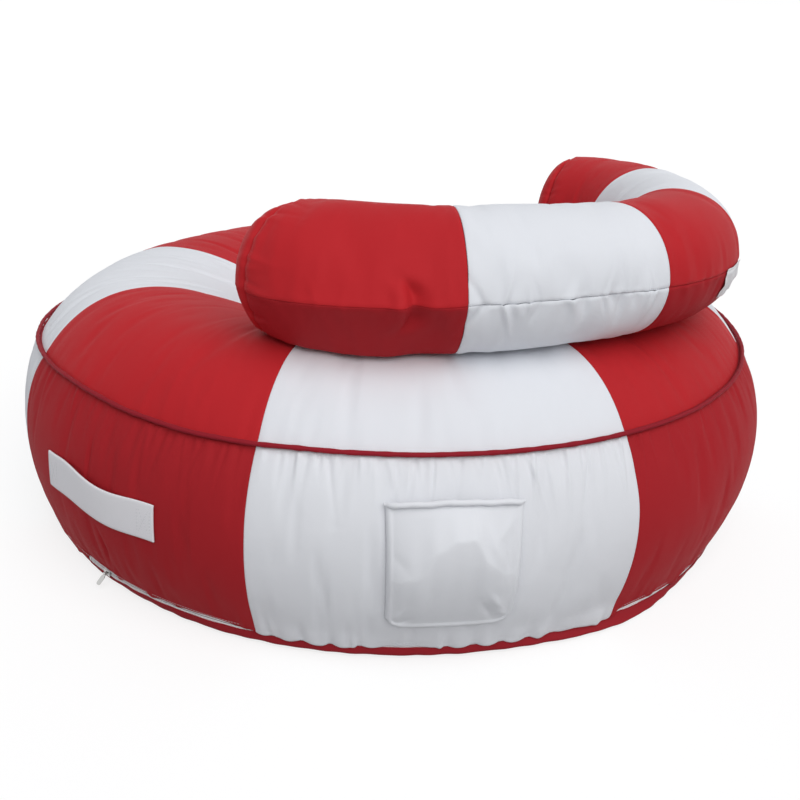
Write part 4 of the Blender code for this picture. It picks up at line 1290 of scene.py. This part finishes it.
def bolsterStations(share):
    # place, direction, outward arrow, half width and half thickness at these shares of the spine
    form = bolsterForm
    near = np.clip(share, 0.004, 0.996)
    run = unit(spinePoint(near + 0.004) - spinePoint(near - 0.004))
    c, s = cos(form["turn"]), sin(form["turn"])
    spin = np.array([[c, s], [-s, c]])
    flat = spinePoint(share)
    tangent = np.concatenate([run @ spin, np.zeros((len(share), 1))], axis=1)
    middle = (2 * share - 1) ** 2
    wide = (form["backWidth"] + (form["armWidth"] - form["backWidth"]) * middle) / 2
    high = (form["backThickness"] + (form["armThickness"] - form["backThickness"]) * middle) / 2
    sink = form["backSink"] + (form["armSink"] - form["backSink"]) * middle
    near = np.minimum(share, 1 - share) - form["endShare"]
    near = np.clip(near * spineLength / form["endLength"], 0, 1)
    taper = 1 - form["endTaper"] * (1 - np.sqrt(1 - (1 - near) ** 2))
    height = baseForm["crownHeight"] + high - sink + form["sideSlope"] * flat[:, 0]
    place = np.concatenate([flat @ spin + [form["shiftX"], form["centreY"]], height[:, None]], axis=1)
    return place, tangent, np.cross(tangent, upward), wide * taper, high * taper


def aboveCrown(points, clearance):
    # lifts each point to its clearance above the base, with a soft corner
    below, lifted = np.array(points), np.array(points)
    below[..., 2] = crownHeight(np.hypot(points[..., 0], points[..., 1]))
    least = settled(below)[..., 2] + clearance
    spare = points[..., 2] - least
    lifted[..., 2] = least + (spare + np.hypot(spare, bolsterForm["softness"])) / 2
    return lifted


def bolsterTube(share, cap, turn, inset=0.0):
    # an ellipse round each station, and its arrows out; cap is the turn over the domed end, negative at +X
    centre, tangent, outward, wide, high = (part[:, None] for part in bolsterStations(share))
    wide, high, bulges = wide[..., None], high[..., None], (bolsterForm["capBulge"], bolsterForm["farBulge"])
    narrow, over = np.cos(cap)[:, None, None], np.sin(cap)[:, None, None]
    across, up = np.cos(turn)[None, :, None], np.sin(turn)[None, :, None]
    bulge = np.where(cap < 0, *bulges)[:, None, None]
    points = centre + outward * ((wide - inset) * across * narrow) + upward * ((high - inset) * up * narrow)
    points = points + tangent * ((bulge - inset) * over)
    normals = outward * narrow * across / wide + upward * narrow * up / high + tangent * over / bulges[0]
    return points, unit(normals)


def stationRows(capRows, tubeRows, steep, flat):
    # shares of the spine and turns over the ends, from one end of the bolster to the other
    near, far = bolsterForm["endShare"], 1 - bolsterForm["endShare"]
    shares = [np.full(capRows, near), np.linspace(near, far, tubeRows), np.full(capRows, far)]
    caps = [-np.linspace(steep, flat, capRows), np.zeros(tubeRows), np.linspace(flat, steep, capRows)]
    return np.concatenate(shares), np.radians(np.concatenate(caps))


bolsterGrid = {"capRows": 12, "tubeRows": 136, "columns": 76, "near": (100, 116), "far": (60, 80)}
firstRow = bolsterGrid["capRows"]
lastRow = firstRow + bolsterGrid["tubeRows"] - 1
coarseShares, coarseCaps = stationRows(bolsterGrid["capRows"], bolsterGrid["tubeRows"], 84, 4)


def shareRow(share):
    inner = (share - bolsterForm["endShare"]) / (1 - 2 * bolsterForm["endShare"])
    return firstRow + inner * (lastRow - firstRow)


def bolsterWrinkles():
    points, _ = bolsterTube(coarseShares, coarseCaps, turnsRound(bolsterGrid["columns"]))
    points = aboveCrown(points, bolsterForm["rest"])
    pins = np.zeros(points.shape[:2])
    pins[[0, firstRow, lastRow, -1]] = 1
    for seamShare in bolsterForm["seams"][1:-1]:
        pins[round(shareRow(seamShare))] = 1
    pins[firstRow : lastRow + 1, [0, bolsterGrid["columns"] // 2]] = 1
    return wrinklesOf("bolsterCover", points, pins, 6, False)


bolsterField = bolsterWrinkles()
print("bolster cover settled")

outerFolds = [
    scatterFolds(61, 0.215, 0.43, 0.014, 0.0040, 0.028, 0.0034, 0.3),  # on the near white panel
    scatterFolds(62, 0.0, 1.08, 0.030, 0.0050, 0.020, 0.0012, 0.25),
]
innerFolds = scatterFolds(63, 0.0, 1.08, 0.020, 0.0050, 0.030, 0.0022, 0.25)
capFolds = scatterFolds(64, 0.0, 0.597, 0.019, 0.0042, 0.022, 0.0021, 0.2)
armCreases = {
    "peak": 0.0085,
    "flat": 0.0070,
    "full": 0.0060,
    "under": 0.0105,
    "sag": 0.016,
    "seamRise": 0.0014,  # how far the seam stands out everywhere
    "peakTurn": 0.23,  # how quickly the peak falls off round the tube
    "underTurn": 1.1,  # how far round the hollow under the seam reaches
    "endFade": 0.75,  # how much of the peak is lost at the arm's end
    "capReach": 0.075,  # metres of cloth to the cap's turn
    "dent": 0.0130,
    "dentShare": 0.137,  # where the dent lies along the arm
    "dentLean": 0.010,
    "dentTurn": (-0.02, 0.30),  # its middle and reach round the tube
    "dentWidths": (0.012, 0.0038),  # its shallow and its steep side
    "ridge": 0.0046,  # the swelling beside it
    "ridgeAway": 0.012,
    "ridgeWidth": 0.0072,
    "swell": 0.0012,  # height and size of an uneven swelling all over
    "swellSize": 0.16,
}
armZones = {  # shares of the bolster's length where each begins and ends, and how softly
    "near": (-0.2, 0.185, 0.05),
    "tip": (-1, 0.012, 0.06),
    "flat": (0.075, 2, 0.05),
    "full": (-1, 0.05, 0.07),
    "sag": (0.03, 0.135, 0.06),
}
seamGrooves = {  # depth and width
    "outer": (0.0012, 0.0022),
    "inner": (0.0016, 0.0026),
    "cross": (0.0011, 0.0026),
    "end": (0.0034, 0.006),
}


def groove(kind, away):
    depth, wide = seamGrooves[kind]
    return depth * bell(away, 0, wide)


def bolsterRelief(share, cap, turn):
    # seam peak on the near arm, its pinched dent, and gathers along each seam
    share, turn = np.broadcast_arrays(share[:, None], turn[None, :])
    cap = np.broadcast_to(cap[:, None], share.shape)
    form, look = bolsterForm, armCreases
    around = (turn + pi) % (2 * pi) - pi  # from -half to +half a turn, 0 at the outer seam
    along, girth = share * spineLength, form["tubeRadius"]
    outer, inner = np.abs(around) * girth, (pi - np.abs(around)) * girth
    near = window(share, *armZones["near"]) * np.cos(cap) ** 4
    endFade = 1 - look["endFade"] * window(share, *armZones["tip"])
    relief = (look["seamRise"] + look["peak"] * near * endFade) * np.exp(-np.abs(around) / look["peakTurn"])
    facet = np.abs(np.sin(2 * around)) * (around > 0) * (around < pi / 2)
    flat = look["flat"] * near * window(share, *armZones["flat"])
    relief = relief - facet * (flat - look["full"] * window(share, *armZones["full"]))
    hollow = np.sin(pi * np.clip(-around / look["underTurn"], 0, 1))
    relief = relief - look["under"] * near * endFade * hollow
    for folds in outerFolds:
        relief = relief + foldRelief(along, outer, folds) * np.where(around < 0, 1.4, 0.8)
    relief = relief + foldRelief(along, inner, innerFolds)
    endAway = (np.minimum(share, 1 - share) - form["endShare"]) * spineLength + np.abs(cap) * look["capReach"]
    relief = relief + foldRelief(turn * girth, endAway, capFolds, 2 * pi * girth) - groove("end", endAway)
    relief = relief - (groove("outer", outer) + groove("inner", inner)) * np.cos(cap)
    for seamShare in form["seams"][1:-1]:
        relief = relief - groove("cross", (share - seamShare) * spineLength)
    # the dent leans along the arm and is deepest just above the seam
    line = look["dentShare"] * spineLength + look["dentLean"] * np.cos(around * 4)
    middle, reach = look["dentTurn"]
    depth = np.exp(-(((around - middle) / reach) ** 4))
    dent = look["dent"] * bell(along, line, np.where(along > line, *look["dentWidths"]))
    ridge = look["ridge"] * bell(along, line - look["ridgeAway"], look["ridgeWidth"])
    return relief + (ridge - dent) * depth


def bolsterSurface(rowsAt, turns):
    # the tube with its wrinkles, folds and sag, kept above the base
    rows = np.arange(len(coarseShares))
    share, cap = np.interp(rowsAt, rows, coarseShares), np.interp(rowsAt, rows, coarseCaps)
    raw, normals = bolsterTube(share, cap, turns)
    swell = armCreases["swell"] * undulation(raw, armCreases["swellSize"], 7)
    lift = bolsterRelief(share, cap, turns) + swell
    points = raw + readField(bolsterField, rowsAt, turns / (2 * pi) * bolsterGrid["columns"])
    points = points + normals * lift[..., None]
    under = np.maximum(-np.sin(turns), 0) * np.maximum(np.cos(turns) + 0.3, 0)
    points[..., 2] -= armCreases["sag"] * window(share, *armZones["sag"])[:, None] * under
    return aboveCrown(points, bolsterForm["rest"]), share


def bolsterPanel(index, upper):
    # a length of the tube between two seams, its upper or its under half
    start, end = bolsterForm["seams"][index : index + 2]
    radius, gap = bolsterForm["tubeRadius"], bolsterForm["seamGap"]
    rowCount, columnCount = bolsterGrid["near" if index < 3 else "far"]
    steps = edgedShares((end - start) * spineLength, rowCount)
    shares = start + (end - start) * steps
    rowsAt = shareRow(shares + gap / spineLength * (0.5 - (shares - start) / (end - start)))
    turns = (0 if upper else pi) + pi * edgedShares(radius * pi, columnCount)
    turns = turns + gap / radius * (0.5 - (turns - turns[0]) / pi)
    points, share = bolsterSurface(rowsAt, turns)
    uv = sideBySide(turns * radius, share[:, None] * spineLength)
    inside = bolsterStations(np.array([(start + end) / 2]))[0][0]
    name = f"bolster_{'top' if upper else 'under'}_{index + 1}"
    colour = "white" if index % 2 else "red"
    # the under halves of the red panels take sideRed, a darker copy of redSatin: painted shade underneath
    look = colour + "Satin" if upper or index % 2 else "sideRed"
    finishPanel(name + "_cover", points, uv, inside, look, colour + "_cloth", name)


def endCap(right):
    # the dome from its seam to its middle; the seam edge turns in towards the middle of the arm
    rowsAt = np.concatenate([firstRow - np.array([0, 0.15, 0.4, 0.7]), np.linspace(firstRow - 1, 0, 34)])
    if not right:
        rowsAt = len(coarseShares) - 1 - rowsAt
    points, share = bolsterSurface(rowsAt, np.linspace(0, 2 * pi, 161))
    points[:, -1] = points[:, 0]
    centre, tangent = (part[0] for part in bolsterStations(share[:1])[:2])
    rim = points[:1] + (centre - points[:1]) * bolsterForm["capTuck"]
    pole = np.broadcast_to(points[-1, :-1].mean(axis=0), points[:1].shape)
    points = np.concatenate([rim, points, pole])
    flat = points - centre
    uv = np.stack([flat @ np.array([tangent[1], -tangent[0], 0]), flat[..., 2]], axis=-1)
    inside = centre + tangent * (0.06 if right else -0.06)
    node = f"bolster_end_cap_{'right' if right else 'left'}"
    looks = "redSatin", "red_cloth", node, clothWall
    addSkin(node + "_cover", points, uv, inside, *looks, merge=1e-5)


for index in range(len(bolsterForm["seams"]) - 1):
    bolsterPanel(index, True)
    bolsterPanel(index, False)
endCap(True)
endCap(False)
print("bolster made")


anchorForm = {"halfWidth": 0.01, "lift": 0.0011, "wall": 0.0008, "right": (0.08, 0.42), "left": (0.58, 0.92)}


def anchorStrip(side):
    # a webbing strip between the bolster and the crown
    form, name = anchorForm, "anchor_strip_" + side
    share = np.linspace(*form[side], 90)
    centre, _, outward, _, _ = bolsterStations(share)
    across = np.linspace(-form["halfWidth"], form["halfWidth"], 9)
    points = centre[:, None] + outward[:, None] * across[None, :, None]
    points[..., 2] = crownHeight(np.hypot(points[..., 0], points[..., 1]))
    points = settled(points) + upward * form["lift"]
    uv = sideBySide((share * spineLength)[:, None], across)
    # a darker red, partly the webbing's own and partly painted shade under the bolster
    looks = "redWebbing", "red_cloth", name, form["wall"]
    addSkin(name + "_webbing", points, uv, (0, 0, -1), *looks, outward=True)


anchorStrip("right")
anchorStrip("left")

labelForm = {
    "share": 0.530,
    "turn": -0.20,
    "length": 0.058,
    "height": 0.042,
    "wall": 0.0005,
    "lift": 0.0014,
    "curl": 0.0010,
    "wave": 0.0006,
}


def blankLabel():
    # a bare patch whose edges curl between its stitches
    form = labelForm
    u, v = np.linspace(-1, 1, 50), np.linspace(-1, 1, 36)
    shares = form["share"] + u * form["length"] / 2 / spineLength
    turns = form["turn"] + v * form["height"] / bolsterForm["backThickness"]
    surface, _ = bolsterSurface(shareRow(shares), np.mod(turns, 2 * pi))
    inside = bolsterStations(np.array([form["share"]]))[0][0]
    u = u[:, None]
    curl = np.abs(u) ** 6 * (0.5 + 0.5 * np.cos(7 * v)) + np.abs(v) ** 6 * (0.4 + 0.4 * np.cos(5 * u + 1))
    lift = form["lift"] + form["curl"] * curl + form["wave"] * np.cos(6 * u) * np.cos(4 * v)
    points = surface + outwardNormals(surface, inside) * lift[..., None]
    uv = sideBySide(u * form["length"] / 2, v * form["height"] / 2)
    looks = "labelSatin", "label_cloth", "blank_label", form["wall"]
    item = addSkin("blank_label_cloth", points, uv, inside, *looks, outward=True)


blankLabel()
print("label made")

bladderForm = {
    "gap": 0.012,  # inside the base's cover, and inside the bolster's
    "armGap": 0.017,
    "wall": 0.0008,
    "webRadius": 0.125,
    "webGap": 0.0048,
    "webWaist": 0.006,
    "webPleats": (20, 0.0008),  # how many round it, and their depth
}
filmLooks = "clearFilm", "clear_film"


def baseBladder():
    # the outside of the cover moved in by the gap, from the middle of the seat to the middle of the floor
    form, gap = baseForm, bladderForm["gap"]
    crown = np.linspace(0, seam[0], 60)
    side = np.linspace(sideTopHeight, form["panelFoot"], 30)[1:]
    turn = np.linspace(0, pi / 2, 8)[1:]
    foot = form["zipRadius"] - form["footTuck"] * (1 - np.cos(turn))
    radius = np.concatenate([crown, sideRadius(side), foot])
    height = np.concatenate([crownHeight(crown), side, form["bandTop"] * (1 - np.sin(turn))])
    run = unit(np.gradient(np.stack([radius, height], axis=1), axis=0))
    radius, height = radius + gap * run[:, 1], height - gap * run[:, 0]
    radius[0] = 0.0
    radius = np.append(np.maximum(radius, 0), 0.0)[:, None]
    height = np.append(np.maximum(height, gap), gap)[:, None]
    points = settled(ringPoints(turnsRound(96), radius, height))
    looks = *filmLooks, "base_bladder", bladderForm["wall"]
    item = addSkin("base_air_bladder", points, None, insideBase, *looks, closed=True, merge=1e-6)


def tieWeb():
    # a film tube with a slight waist, between the seat and the floor of the bladder
    form, angles = bladderForm, turnsRound(96)
    top = float(crownHeight(np.array(form["webRadius"]))) - form["gap"] - form["webGap"]
    height = np.linspace(form["gap"] + 2 * form["wall"], top, 30)[:, None]
    waist = form["webWaist"] * np.sin(pi * np.linspace(0, 1, 30))[:, None]
    pleats, depth = form["webPleats"]
    points = settled(ringPoints(angles, form["webRadius"] - waist + depth * np.sin(pleats * angles), height))
    looks = *filmLooks, "bladder_tie_web", form["wall"]
    addSkin("tie_web_film", points, None, insideBase, *looks, closed=True)


def bolsterBladder():
    # the outside of the bolster moved in by the gap
    gap = bladderForm["armGap"]
    points, _ = bolsterTube(*stationRows(9, 120, 90, 10), turnsRound(44), gap)
    points = aboveCrown(points, bolsterForm["rest"] + gap)
    looks = *filmLooks, "bolster_bladder", bladderForm["wall"]
    middle = points.mean(axis=(0, 1))
    item = addSkin("bolster_air_bladder", points, None, middle, *looks, closed=True, merge=1e-5)


baseBladder()
tieWeb()
bolsterBladder()
print("bladders made")

keptFinishes = {  # the CAD nodes that stay
    "nickel": ("zip_slider", "zip_pull", "zip_stop_closed", "zip_stop_open"),
    "valvePlastic": ("base_valve", "base_valve_plug", "bolster_valve", "bolster_valve_plug"),
}


def finishNodes(look, nodes):
    for item in bpy.data.objects:
        if item.get("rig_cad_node") in nodes:
            if not item.material_slots:
                item.data.materials.append(materials[look])
            for slot in item.material_slots:
                slot.material = materials[look]


for look, nodes in keptFinishes.items():
    finishNodes(look, nodes)

studio = {
    "sun": 1.80,
    "sunAngle": 60,  # degrees across, for soft shadows
    "sunFrom": (0.37, 0.71, 1.0),
    "sky": 0.46,
    "skyColour": (0.95, 0.97, 1.0),
    "floorSize": 300.0,
    "floorDrop": 0.0004,
    "floorSeen": 0.26,  # share of the floor's white that light and shadow make
    "floorBounce": 0.40,  # what the floor gives back to the object
}


def seenRays(tree):
    # 1 for rays from the camera, straight, mirrored or through the film
    path = tree.nodes.new("ShaderNodeLightPath").outputs
    seen = mathNode(tree, "MAXIMUM", path["Is Camera Ray"], path["Is Glossy Ray"])
    return mathNode(tree, "MAXIMUM", seen, path["Is Transmission Ray"])


def makeFloor():
    size = studio["floorSize"]
    points = np.array([[-size, -size, 0], [size, -size, 0], [size, size, 0], [-size, size, 0]])
    points = points - [0, 0, studio["floorDrop"]]
    material, tree, shader = newMaterial("paleFloor")
    seen = seenRays(tree)
    bounce, shown = ([studio[key]] * 3 for key in ("floorBounce", "floorSeen"))
    inputs = {
        "Base Color": mixNode(tree, seen, toned(bounce), toned(shown)),
        "Roughness": 0.9,
        "Specular IOR Level": 0.1,
        "Emission Color": (1, 1, 1, 1),
        "Emission Strength": mathNode(tree, "MULTIPLY", seen, 1.01 - 0.93 * studio["floorSeen"]),
    }
    feed(tree, shader, inputs)
    addObject("floor", makeMesh("floor", points, np.array([[0, 1, 2, 3]])), material)


def makeLight():
    data = bpy.data.lights.new("sky lamp", "SUN")
    data.energy = studio["sun"]
    data.angle = radians(studio["sunAngle"])
    lamp = bpy.data.objects.new("sky lamp", data)
    scene.collection.objects.link(lamp)
    lamp.rotation_mode = "QUATERNION"
    lamp.rotation_quaternion = Vector(-np.array(studio["sunFrom"])).to_track_quat("-Z", "Y")
    world = bpy.data.worlds.new("studio")
    scene.world = world
    world.use_nodes = True
    tree = world.node_tree
    seen = seenRays(tree)
    strength = mathNode(tree, "ADD", mathNode(tree, "MULTIPLY", seen, 1 - studio["sky"]), studio["sky"])
    colour = mixNode(tree, seen, toned(studio["skyColour"]), (1, 1, 1, 1))
    feed(tree, tree.nodes["Background"], {"Color": colour, "Strength": strength})


makeFloor()
makeLight()
scene.view_settings.view_transform = "Standard"
print("floor and light made")
